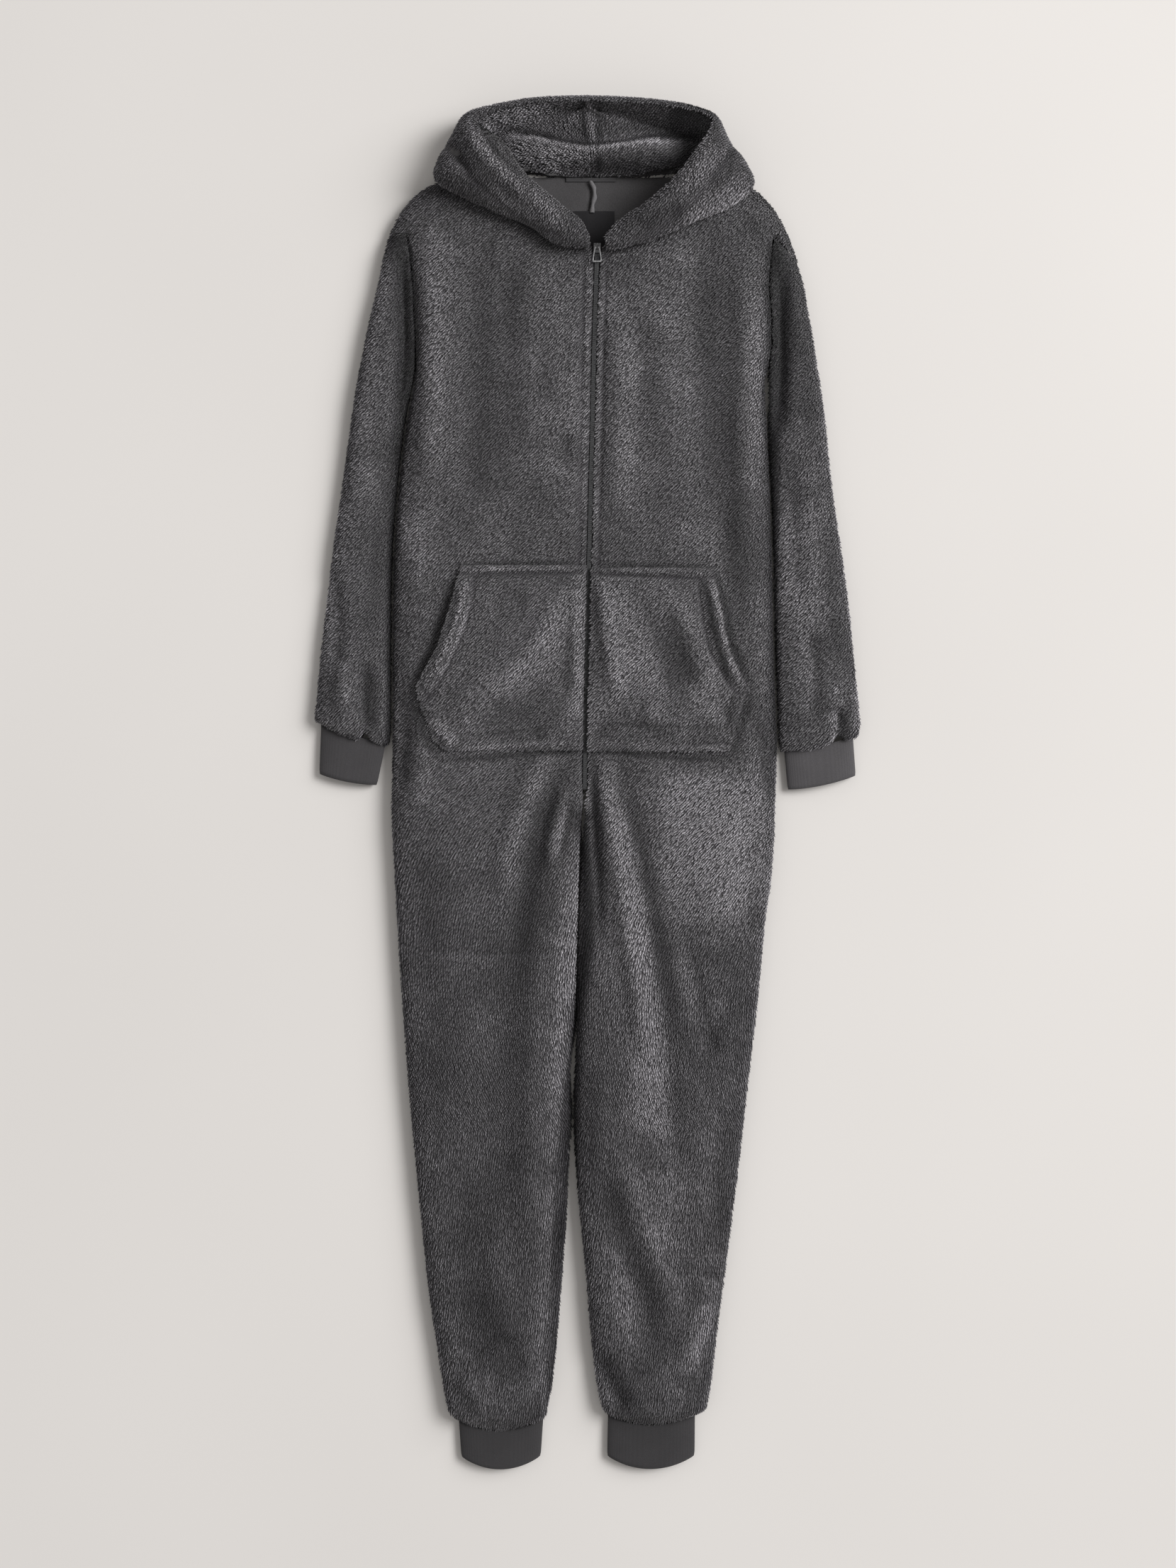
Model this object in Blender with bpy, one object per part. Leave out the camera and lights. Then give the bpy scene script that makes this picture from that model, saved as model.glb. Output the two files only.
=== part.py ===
"""Hooded fleece onesie with rib cuffs, a kangaroo pocket in two halves and a front zip.

The garment lies flat on its back on the plane z = 0, with the hood towards +Y and the
wearer's left side towards +X. Tables are in millimetres and objects are in metres.
The fleece is a wall: each piece is a grid of points on its outer face, and the inner
face lies one cloth thickness inside it.
"""
import math

import bpy
import numpy as np

MM = 0.001

# Driving dimensions, in millimetres.
FLEECE_WALL = 3.0
RIB_WALL = 2.0
TAPE_WALL = 1.0
LABEL_WALL = 0.8
BAND_WALL = 1.2
SEAM_GAP = 0.3
HALF_GAP = SEAM_GAP / 2
HEM_GAP = SEAM_GAP * 1.5

BODY_LOFT = 32.0
SIDE_SEAM_Z = 13.0
BACK_CORNER = 15.0
SIDE_ROUND = 40.0
LEG_ROUND = 38.0
SHOULDER_ROUND = 46.0
SHOULDER_CENTRE_X = 3.4

SLEEVE_LOFT = 27.0
SLEEVE_SEAM_Z = 11.0
SLEEVE_ROUND = 42.0
SLEEVE_CORNER = 12.0
CAP_STEP = 2.5
CAP_GAP = 0.54

CUFF_HEIGHT = 15.0
CUFF_ROWS = 3

HOOD_CREST = 9.0
HOOD_FULL_WIDTH = 45.0
HOOD_ROUND_SHARE = 0.75
HOOD_CORNER = 14.0
RIM_SHARE = 0.3
HOOD_OVER = (0.0, 0.12, 0.35, 0.7, 1.0)
HOOD_FOLD = (0.0, 0.5, 1.0)
HOOD_UNDER = (0.0, 0.35, 0.7, 1.0)
LINING_GAP = 2.0
LINING_RISE_SHARE = 1.2
NECK_CLEAR = 15.0
NECK_SHIFT = (3.0, 4.5)
POCKET_LIFT = 0.9
POCKET_LOFT = 7.5
POCKET_PUFF = 6.0
POCKET_BULGE = 2.2
POCKET_ZIP_GAP = 3.0

COLOURS = {
    "fleece": ((0.105, 0.105, 0.109, 1.0), 0.95, 0.0),
    "rib": ((0.058, 0.056, 0.062, 1.0), 0.85, 0.0),
    "knit": ((0.135, 0.135, 0.139, 1.0), 0.9, 0.0),
    "tape": ((0.035, 0.035, 0.037, 1.0), 0.8, 0.0),
    "coil": ((0.03, 0.03, 0.032, 1.0), 0.4, 0.0),
    "metal": ((0.45, 0.45, 0.46, 1.0), 0.32, 1.0),
    "label": ((0.016, 0.016, 0.018, 1.0), 0.6, 0.0),
}

# One row for each section of the body, from the shoulder to the ankle hem.
# y: height of the section at the zip; drop: how far its outer end lies below that;
# bend: how late it bends down; inner_x, outer_x: its two ends; inner_tuck, outer_tuck:
# how far up its rounding the panel's edge sits (1 is the crown, 0 the side);
# strip: how far in from the leg's edge the seam lies, where the back panel wraps over.
BODY_COLUMNS = ("y", "drop", "bend", "inner_x", "outer_x", "inner_tuck", "outer_tuck", "strip")
RIGHT_BODY = (
    (736.6, 71.0, 8.0, -81.0, -240.0, 1.00, 0.00, 0.0),
    (731.0, 65.0, 7.7, -79.5, -234.0, 1.00, 0.08, 0.0),
    (722.0, 55.5, 7.4, -73.0, -227.0, 1.00, 0.10, 0.0),
    (706.6, 39.5, 7.0, -61.7, -219.4, 1.00, 0.10, 0.0),
    (687.7, 39.0, 6.0, -38.6, -216.0, 1.00, 0.10, 0.0),
    (668.0, 42.0, 5.0, -14.6, -213.0, 1.00, 0.10, 0.0),
    (646.6, 45.0, 4.0, 5.0, -210.8, 1.00, 0.10, 0.0),
    (606.0, 36.0, 3.0, 6.4, -210.0, 1.00, 0.10, 0.0),
    (563.0, 26.0, 2.5, 5.0, -208.3, 1.00, 0.08, 0.0),
    (522.0, 12.0, 2.0, 3.8, -208.3, 1.00, 0.04, 0.0),
    (484.0, 3.0, 2.0, 3.0, -210.8, 1.00, 0.00, 0.0),
    (434.0, 0.0, 2.0, 2.0, -219.4, 1.00, 0.00, 0.0),
    (361.0, 0.0, 2.0, 0.0, -228.0, 1.00, 0.00, 0.0),
    (262.0, 0.0, 2.0, -2.3, -234.8, 1.00, 0.00, 0.0),
    (205.0, 0.0, 2.0, -3.4, -235.5, 1.00, 0.00, 0.0),
    (151.0, 0.0, 2.0, -4.6, -235.7, 1.00, 0.00, 0.0),
    (97.0, 0.0, 2.0, -5.7, -235.7, 1.00, 0.00, 0.0),
    (48.0, 0.0, 2.0, -6.6, -236.0, 1.00, 0.00, 0.0),
    (14.0, 0.0, 2.0, -7.2, -236.5, 0.62, 0.00, 0.0),
    (-18.0, 0.0, 2.0, -5.2, -237.4, 0.28, 0.00, 0.0),
    (-45.0, 0.0, 2.0, -7.6, -237.0, 0.07, 0.00, 0.0),
    (-95.0, 0.0, 2.0, -10.2, -234.4, 0.00, 0.00, 0.0),
    (-166.0, 0.0, 2.0, -12.2, -230.5, 0.00, 0.00, 0.0),
    (-272.0, 0.0, 2.0, -15.6, -223.7, 0.00, 0.00, 0.0),
    (-395.0, 0.0, 2.0, -24.2, -214.2, 0.00, 0.00, 7.0),
    (-492.0, 0.0, 2.0, -24.6, -204.8, 0.00, 0.00, 15.0),
    (-594.0, 0.0, 2.0, -30.6, -194.5, 0.00, 0.00, 14.0),
    (-674.0, 0.0, 2.0, -37.4, -183.4, 0.00, 0.00, 11.0),
    (-731.0, 0.0, 2.0, -43.7, -174.0, 0.00, 0.00, 5.0),
    (-760.0, 0.0, 2.0, -49.4, -168.0, 0.00, 0.00, 0.0),
)
LEFT_BODY = (
    (736.6, 101.0, 8.0, 104.0, 254.0, 1.00, 0.00, 0.0),
    (731.0, 87.2, 7.7, 102.0, 245.0, 1.00, 0.08, 0.0),
    (722.0, 70.0, 7.4, 95.5, 236.0, 1.00, 0.10, 0.0),
    (706.6, 45.0, 7.0, 82.0, 225.5, 1.00, 0.10, 0.0),
    (687.7, 43.0, 6.0, 60.0, 223.0, 1.00, 0.10, 0.0),
    (668.0, 44.0, 5.0, 39.0, 221.0, 1.00, 0.10, 0.0),
    (646.6, 46.0, 4.0, 18.0, 219.6, 1.00, 0.10, 0.0),
    (606.0, 36.0, 3.0, 14.6, 222.0, 1.00, 0.10, 0.0),
    (563.0, 26.0, 2.5, 13.0, 222.8, 1.00, 0.08, 0.0),
    (522.0, 12.0, 2.0, 11.8, 220.0, 1.00, 0.04, 0.0),
    (484.0, 3.0, 2.0, 11.0, 214.4, 1.00, 0.00, 0.0),
    (434.0, 0.0, 2.0, 10.0, 216.8, 1.00, 0.00, 0.0),
    (361.0, 0.0, 2.0, 8.0, 220.0, 1.00, 0.00, 0.0),
    (262.0, 0.0, 2.0, 5.7, 223.5, 1.00, 0.00, 0.0),
    (205.0, 0.0, 2.0, 4.6, 224.3, 1.00, 0.00, 0.0),
    (151.0, 0.0, 2.0, 3.4, 225.5, 1.00, 0.00, 0.0),
    (97.0, 0.0, 2.0, 2.3, 227.5, 1.00, 0.00, 0.0),
    (48.0, 0.0, 2.0, 1.4, 229.5, 1.00, 0.00, 0.0),
    (14.0, 0.0, 2.0, 0.8, 228.6, 0.62, 0.00, 0.0),
    (-18.0, 0.0, 2.0, -1.6, 227.5, 0.28, 0.00, 0.0),
    (-45.0, 0.0, 2.0, -4.2, 227.0, 0.07, 0.00, 0.0),
    (-95.0, 0.0, 2.0, -7.0, 224.6, 0.00, 0.00, 0.0),
    (-166.0, 0.0, 2.0, -9.4, 215.4, 0.00, 0.00, 0.0),
    (-272.0, 0.0, 2.0, -12.6, 205.0, 0.00, 0.00, 0.0),
    (-395.0, 0.0, 2.0, -14.0, 191.0, 0.00, 0.00, 2.0),
    (-492.0, 0.0, 2.0, -10.4, 179.5, 0.00, 0.00, 3.5),
    (-594.0, 0.0, 2.0, -2.0, 166.3, 0.00, 0.00, 4.0),
    (-674.0, 0.0, 2.0, 4.6, 155.6, 0.00, 0.00, 3.5),
    (-731.0, 0.0, 2.0, 12.0, 148.6, 0.00, 0.00, 2.0),
    (-755.0, 0.0, 2.0, 18.0, 144.0, 0.00, 0.00, 0.0),
)
NOTCH_ROWS = 3
ARMHOLE_ROW = 10
CROTCH_ROW = 18
NECK_ROWS = 5
NECK_RISE = 14.0
STRIP_AT_INSEAM = {"right": True, "left": False}

# One row for each section of a sleeve, below the armhole: outer and inner ends.
SLEEVE_COLUMNS = ("outer_x", "outer_y", "inner_x", "inner_y", "loft")
RIGHT_SLEEVE = (
    (-287.1, 434.0, -221.4, 434.0, 27.0),
    (-297.4, 361.0, -230.0, 361.0, 27.0),
    (-309.0, 280.0, -236.2, 280.0, 27.0),
    (-316.0, 222.0, -237.4, 222.0, 27.0),
    (-323.1, 160.0, -237.7, 160.0, 27.0),
    (-328.4, 103.0, -238.0, 97.0, 27.0),
    (-330.4, 80.0, -238.4, 58.0, 26.0),
    (-328.4, 73.6, -240.6, 49.6, 23.0),
)
LEFT_SLEEVE = (
    (288.4, 434.0, 218.8, 434.0, 27.0),
    (296.2, 361.0, 222.0, 361.0, 27.0),
    (307.6, 280.0, 225.2, 280.0, 27.0),
    (315.0, 222.0, 226.3, 222.0, 27.0),
    (322.2, 160.0, 227.5, 160.0, 27.0),
    (328.4, 97.0, 230.0, 97.0, 27.0),
    (330.4, 66.0, 231.6, 49.0, 26.0),
    (328.0, 58.6, 234.6, 40.6, 23.0),
)
# Where the sleeve's outer fold lies level with each armhole row of the body.
RIGHT_CAP = ((-240.0, 665.2), (-245.6, 646.0), (-250.6, 622.0), (-257.0, 592.0),
             (-264.4, 560.0), (-272.6, 519.0), (-280.0, 481.0))
LEFT_CAP = ((254.4, 634.6), (258.4, 616.0), (262.4, 601.0), (267.0, 570.0),
            (273.0, 538.0), (277.4, 510.0), (282.0, 481.0))

# Rib cuffs: the ends of the seam and of the open end, and how far each one dips between.
CUFF_COLUMNS = ("top_a", "top_b", "end_a", "end_b", "top_dip", "end_dip")
WRIST_CUFFS = {
    "right": ((-323.4, 72.4), (-244.4, 50.2), (-325.7, 12.6), (-255.2, -1.0), 2.0, 3.0),
    "left": ((238.2, 41.4), (322.0, 58.4), (242.5, -6.4), (325.4, 10.6), 3.0, 3.5),
}
ANKLE_CUFFS = {
    "right": ((-156.4, -771.0), (-53.6, -769.0), (-153.4, -815.0), (-56.6, -814.0), 13.0, 15.0),
    "left": ((24.4, -764.0), (130.4, -764.0), (23.4, -814.0), (130.0, -813.4), 12.0, 15.4),
}

# Hood stations from the bottom of the V round to the middle of the top edge.
# rim: the open edge; outer: the fold seen as the hood's outline; end: where the cloth
# meets the neck seam or, past the nape, the hood's centre seam; rim_z, outer_z, under_z:
# heights of the rim, the outline and the layer beneath; tuck: how far the lining
# follows the outer cloth, from 0 (straight across) to 1 (all the way in).
HOOD_COLUMNS = ("rim_x", "rim_y", "outer_x", "outer_y", "end_x", "end_y",
                "rim_z", "outer_z", "under_z", "tuck")
RIGHT_HOOD = (
    (4.0, 657.0, 1.0, 643.0, 3.0, 651.0, 52.0, 42.0, 33.5, 0.0),
    (-6.0, 675.7, -34.3, 648.3, -15.5, 667.0, 56.0, 42.0, 33.5, 0.0),
    (-30.0, 694.6, -67.7, 668.0, -39.5, 686.5, 60.0, 42.0, 33.5, 0.0),
    (-54.0, 713.5, -106.3, 686.0, -62.5, 705.5, 67.0, 42.0, 33.5, 0.1),
    (-72.8, 728.9, -149.1, 705.7, -82.0, 727.0, 72.0, 40.0, 31.0, 0.3),
    (-80.0, 737.5, -184.0, 728.0, -86.0, 740.5, 74.0, 34.0, 24.0, 0.6),
    (-83.0, 742.0, -186.0, 735.5, -84.0, 742.5, 74.0, 30.0, 20.0, 0.8),
    (-87.0, 748.0, -185.0, 743.0, -76.0, 743.5, 74.0, 22.0, 0.0, 0.9),
    (-94.3, 760.0, -180.0, 757.0, -30.0, 737.0, 74.0, 20.0, 0.0, 1.0),
    (-108.0, 774.5, -170.5, 772.0, 3.0, 737.0, 70.0, 20.0, 0.0, 1.0),
    (-122.6, 785.4, -162.0, 787.2, 3.0, 760.0, 65.0, 20.0, 0.0, 0.8),
    (-133.5, 795.7, -151.7, 804.3, 2.0, 778.0, 60.0, 20.0, 0.0, 0.5),
    (-92.0, 812.0, -100.3, 820.6, 0.0, 796.0, 57.0, 22.0, 0.0, 0.2),
    (-50.0, 818.6, -54.8, 827.4, -0.65, 808.0, 56.0, 22.0, 0.0, 0.1),
    (-0.65, 820.0, -0.65, 829.1, -0.65, 815.0, 55.0, 22.0, 0.0, 0.0),
)
LEFT_HOOD = (
    (20.0, 658.0, 23.6, 641.5, 21.6, 651.0, 52.0, 42.0, 33.5, 0.0),
    (37.0, 677.0, 71.1, 651.7, 46.0, 669.0, 56.0, 42.0, 33.5, 0.0),
    (58.3, 690.0, 99.4, 663.7, 67.0, 683.0, 60.0, 42.0, 33.5, 0.0),
    (88.0, 712.0, 129.4, 676.6, 92.0, 706.0, 67.0, 42.0, 33.5, 0.1),
    (104.0, 727.0, 177.4, 698.0, 106.0, 727.0, 72.0, 40.0, 31.0, 0.3),
    (112.0, 735.0, 201.0, 724.0, 110.0, 740.5, 74.0, 34.0, 24.0, 0.6),
    (115.0, 739.0, 199.5, 732.5, 106.0, 742.5, 74.0, 30.0, 20.0, 0.8),
    (119.0, 745.0, 196.0, 741.0, 98.0, 743.5, 74.0, 22.0, 0.0, 0.9),
    (127.0, 756.0, 188.0, 755.0, 50.0, 737.0, 74.0, 20.0, 0.0, 1.0),
    (136.0, 768.0, 176.5, 767.0, 3.3, 737.0, 70.0, 20.0, 0.0, 1.0),
    (145.0, 783.0, 168.5, 781.0, 3.3, 760.0, 65.0, 20.0, 0.0, 0.8),
    (150.0, 796.0, 159.0, 800.0, 2.3, 778.0, 60.0, 20.0, 0.0, 0.5),
    (106.0, 811.6, 112.3, 820.2, 0.3, 796.0, 57.0, 22.0, 0.0, 0.2),
    (50.0, 817.8, 52.3, 826.8, -0.35, 808.0, 56.0, 22.0, 0.0, 0.1),
    (-0.35, 820.0, -0.35, 829.1, -0.35, 815.0, 55.0, 22.0, 0.0, 0.0),
)
NECK_STATION = 7
NAPE_STATION = 9
# Height of the hood's inside along the middle: nape, roll, crease and top edge.
LINING_COLUMNS = ("y", "z")
LINING_FLOOR = (
    (737.0, 8.2),
    (742.0, 20.0),
    (748.0, 32.0),
    (762.0, 42.0),
    (773.0, 36.0),
    (780.0, 26.0),
    (790.0, 28.0),
    (806.0, 38.0),
    (824.0, 52.0),
    (832.0, 55.0),
)

# Pocket halves: y of each row and its opening edge.
POCKET_COLUMNS = ("y", "edge_x", "gape")
RIGHT_POCKET = (
    (264.0, -154.0, 0.0),
    (254.0, -154.6, 0.3),
    (227.0, -162.0, 0.7),
    (195.0, -171.4, 1.0),
    (166.0, -181.0, 1.0),
    (142.0, -194.0, 0.8),
    (118.0, -207.6, 0.25),
    (99.0, -202.0, 0.0),
    (74.0, -192.4, 0.0),
    (54.0, -186.0, 0.0),
    (41.0, -171.0, 0.0),
)
LEFT_POCKET = (
    (261.0, 151.5, 0.0),
    (251.0, 153.0, 0.3),
    (221.0, 158.5, 0.7),
    (190.0, 164.0, 1.0),
    (160.0, 171.0, 1.0),
    (138.0, 181.0, 0.8),
    (117.0, 193.0, 0.25),
    (95.0, 187.0, 0.0),
    (69.0, 178.5, 0.0),
    (52.0, 175.0, 0.0),
    (40.0, 171.0, 0.0),
)
POCKET_FRACTIONS = (0.0, 0.12, 0.3, 0.5, 0.7, 0.88, 1.0)

ZIP_TOP_Y = 640.0
ZIP_END_Y = -6.0
ZIP_STATIONS = 17
COIL_HALF_WIDTH = 2.4
COIL_RISE = 1.0
TAPE_MIDDLE = 6.0
TAPE_WIDTH = 13.0
TAPE_UNDER = 4.6

SLIDER_LENGTH = 12.6
SLIDER_HALF_WIDTH = 4.6
SLIDER_CENTRE_Y = 646.6
SLIDER_CENTRE_X = 11.5
SLIDER_PROUD = 0.6
SLIDER_DEPTH = 5.2
TUNNEL = 1.3
BRIDGE_WALL = 0.9
BRIDGE_HALF = 1.1
BRIDGE_SINK = 0.6
BAR_LIFT = 1.15
BRIDGE_POINTS = 9
NOSE = 2.0
SHOULDER = 1.0
SLIDER_BEVEL = 0.4
PULL_WALL = 1.3
# The pull's outline and its window: distance from the hinge and half width.
PULL_OUTLINE = ((-0.8, 2.9), (0.8, 3.4), (5.0, 4.2), (15.5, 5.6), (17.4, 4.6))
PULL_WINDOW = ((0.8, 1.7), (2.2, 2.3), (5.0, 2.9), (14.2, 4.2), (15.8, 3.6))

# What lies inside the back neck.
BAND_X = (-26.0, 34.0)
BAND_STATIONS = 7
BAND_Y = (736.4, 734.0, 731.6)
ALLOWANCE_X = 7.0
ALLOWANCE_HALF = 4.6
ALLOWANCE_Y = (731.2, 719.0, 707.0, 696.6)
ALLOWANCE_WALL = 1.4
ALLOWANCE_RISE = 1.2
LABEL_X = (-18.0, 32.6)
LABEL_FOLD_X = 0.2
LABEL_Y = (695.8, 680.0, 664.0, 648.0)
LABEL_RISE = 1.5

NAPE_X = 3.4


def rise(t):
    """Quarter-round: 0 at the edge, 1 at the crown and beyond it."""
    t = np.clip(t, 0.0, 1.0)
    return np.sqrt(1.0 - (1.0 - t) ** 2)


def column(table, names, name):
    """One named column of a table as an array."""
    return np.array([row[names.index(name)] for row in table], dtype=float)


def resample(line, fractions):
    """Points of a polyline at fractions of its length."""
    line = np.asarray(line, dtype=float)
    steps = np.linalg.norm(np.diff(line, axis=0), axis=1)
    along = np.concatenate([[0.0], np.cumsum(steps)])
    at = np.asarray(fractions) * along[-1]
    return np.stack([np.interp(at, along, line[:, k]) for k in range(line.shape[1])], axis=1)


def grid_normals(grid, wrap):
    """Unit normals of a grid of points, averaged from its neighbours."""
    if wrap:
        across = np.roll(grid, -1, axis=1) - np.roll(grid, 1, axis=1)
    else:
        across = np.gradient(grid, axis=1)
    along = np.gradient(grid, axis=0)
    normal = np.cross(across, along)
    size = np.linalg.norm(normal, axis=2, keepdims=True)
    return normal / np.maximum(size, 1e-9)


def inner_face(grid, wall, wrap, level):
    """The grid moved in by one wall; each border of a seam stays in the seam's plane."""
    step = grid_normals(grid, wrap) * -wall
    borders = {
        "first_column": (slice(None), 0),
        "last_column": (slice(None), -1),
        "first_row": (0, slice(None)),
        "last_row": (-1, slice(None)),
    }
    for name, planes in level:
        run = np.gradient(grid[borders[name]], axis=0)
        line = np.cross(run, planes)
        line = line / np.maximum(np.linalg.norm(line, axis=1, keepdims=True), 1e-9)
        sense = np.sign(np.einsum("ij,ij->i", line, step[borders[name]]))
        held = np.linalg.norm(line, axis=1) > 0.5
        step[borders[name]][held] = (line * sense[:, None] * abs(wall))[held]
    set_corners(step, dict(level), abs(wall))
    inner = grid + step
    inner[..., 2] = np.maximum(inner[..., 2], abs(wall))
    return inner


def set_corners(step, level, wall):
    """A corner where two seams meet moves along the line both of their planes share."""
    for row_name, row in (("first_row", 0), ("last_row", -1)):
        for column_name, place in (("first_column", 0), ("last_column", -1)):
            if row_name not in level or column_name not in level:
                continue
            row_plane = np.broadcast_to(level[row_name], (step.shape[1], 3))[place]
            line = np.cross(row_plane, level[column_name][row])
            size = np.linalg.norm(line)
            if size > 0.3:
                line = line / size
                step[row, place] = line * np.copysign(wall, line @ step[row, place])


def material(name):
    """The Principled material of one cloth or metal."""
    found = bpy.data.materials.get(name)
    if found:
        return found
    colour, roughness, metallic = COLOURS[name]
    made = bpy.data.materials.new(name)
    made.use_nodes = True
    shader = made.node_tree.nodes["Principled BSDF"]
    shader.inputs["Base Color"].default_value = colour
    shader.inputs["Roughness"].default_value = roughness
    shader.inputs["Metallic"].default_value = metallic
    made.diffuse_color = colour
    return made


def add_object(name, points, faces, finish, origin=(0.0, 0.0, 0.0)):
    """A named object from points in millimetres."""
    base = np.asarray(origin, dtype=float)
    mesh = bpy.data.meshes.new(name)
    mesh.from_pydata([tuple((np.asarray(p) - base) * MM) for p in points], [], faces)
    mesh.materials.append(material(finish))
    mesh.update()
    made = bpy.data.objects.new(name, mesh)
    made.location = tuple(base * MM)
    bpy.context.collection.objects.link(made)
    mesh.shade_smooth()
    return made


def add_wall(name, grid, finish, inner, wrap=False):
    """A closed cloth wall between the grids of its outer and inner faces."""
    rows, cols = grid.shape[:2]
    points = np.concatenate([grid.reshape(-1, 3), inner.reshape(-1, 3)])
    half = rows * cols

    def at(i, j):
        return i * cols + (j % cols)

    faces = []
    spans = cols if wrap else cols - 1
    for i in range(rows - 1):
        for j in range(spans):
            a, b, c, d = at(i, j), at(i, j + 1), at(i + 1, j + 1), at(i + 1, j)
            faces.append((a, b, c, d))
            faces.append((half + d, half + c, half + b, half + a))
    for j in range(spans):
        a, b = at(0, j), at(0, j + 1)
        faces.append((b, a, half + a, half + b))
        a, b = at(rows - 1, j), at(rows - 1, j + 1)
        faces.append((a, b, half + b, half + a))
    if not wrap:
        for i in range(rows - 1):
            a, b = at(i, 0), at(i + 1, 0)
            faces.append((a, b, half + b, half + a))
            a, b = at(i, cols - 1), at(i + 1, cols - 1)
            faces.append((b, a, half + a, half + b))
    made = add_object(name, points, faces, finish)
    face_outwards(made)
    return made


def face_outwards(made):
    """Turns the faces out where the grid ran the other way round."""
    mesh = made.data
    mesh.calc_loop_triangles()
    points = np.array([v.co[:] for v in mesh.vertices])
    corners = np.array([t.vertices[:] for t in mesh.loop_triangles])
    a, b, c = (points[corners[:, k]] for k in range(3))
    if np.einsum("ij,ij->i", a, np.cross(b, c)).sum() < 0:
        mesh.flip_normals()


X_PLANE, Y_PLANE, Z_PLANE = np.eye(3)
SIDES = {"right": (-1.0, RIGHT_BODY, RIGHT_SLEEVE, RIGHT_CAP),
         "left": (1.0, LEFT_BODY, LEFT_SLEEVE, LEFT_CAP)}
# How finely a smooth section is sampled before its vertices are picked.
FINE = 48
CORNER_FINE = 13
STRIP_FINE = 7
# Places of the vertices along a section, as shares of its length.
FRONT_FRACTIONS = (0.0, 0.1, 0.28, 0.6, 0.84, 0.94, 1.0)
BACK_FRACTIONS = (0.0, 0.06, 0.12, 0.23, 0.42, 0.87, 0.94, 1.0)
SLEEVE_FRACTIONS = (0.0, 0.04, 0.09, 0.25, 0.42, 0.47, 0.52, 0.58, 0.75, 0.91, 0.96, 1.0)
ENDS = (0.0, 1.0)
HALVES = (0.0, 0.5, 1.0)
# The same along the flat of a back section, by its number of spans.
FLAT_FRACTIONS = {
    2: HALVES,
    3: (0.0, 0.35, 0.7, 1.0),
    4: (0.0, 0.3, 0.65, 0.88, 1.0),
    5: (0.0, 0.22, 0.42, 0.68, 0.88, 1.0),
    7: (0.0, 0.2, 0.38, 0.58, 0.76, 0.88, 0.95, 1.0),
}


def body_columns(side):
    """The body table of one side as named arrays."""
    return {name: column(SIDES[side][1], BODY_COLUMNS, name) for name in BODY_COLUMNS}


def section_y(body, row, x):
    """Height on the garment of a point of a body section."""
    reach = (SHOULDER_CENTRE_X - x) / (SHOULDER_CENTRE_X - body["outer_x"][row])
    bend = body["drop"][row] * np.clip(reach, 0.0, 1.0) ** body["bend"][row]
    return body["y"][row] - bend


def top_height(body, row, x, y):
    """Height of the front above the ground at a point of a section."""
    out = rise(body["outer_tuck"][row] + np.abs(x - body["outer_x"][row]) / SIDE_ROUND)
    inn = rise(body["inner_tuck"][row] + np.abs(x - body["inner_x"][row]) / LEG_ROUND)
    top = rise((section_y(body, 0, x) - y) / SHOULDER_ROUND)
    return SIDE_SEAM_Z + (BODY_LOFT - SIDE_SEAM_Z) * out * inn * top


def seam_ends(side, body, row):
    """Where a section's front panel starts and stops."""
    sign = SIDES[side][0]
    start, stop = body["inner_x"][row], body["outer_x"][row]
    if STRIP_AT_INSEAM[side]:
        start += sign * body["strip"][row]
    else:
        stop -= sign * body["strip"][row]
    return start, stop


def over_top(body, row, start, stop, count):
    """Points of a section from start to stop over its top, closer near both ends."""
    turn = (1.0 - np.cos(np.linspace(0.0, math.pi, count))) / 2.0
    x = start + (stop - start) * turn
    y = section_y(body, row, x)
    return np.stack([x, y, top_height(body, row, x, y)], axis=1)


def front_section(side, row):
    """Front panel section from the zip or inseam to the side."""
    body = body_columns(side)
    start, stop = seam_ends(side, body, row)
    return over_top(body, row, start, stop, FINE)


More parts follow.
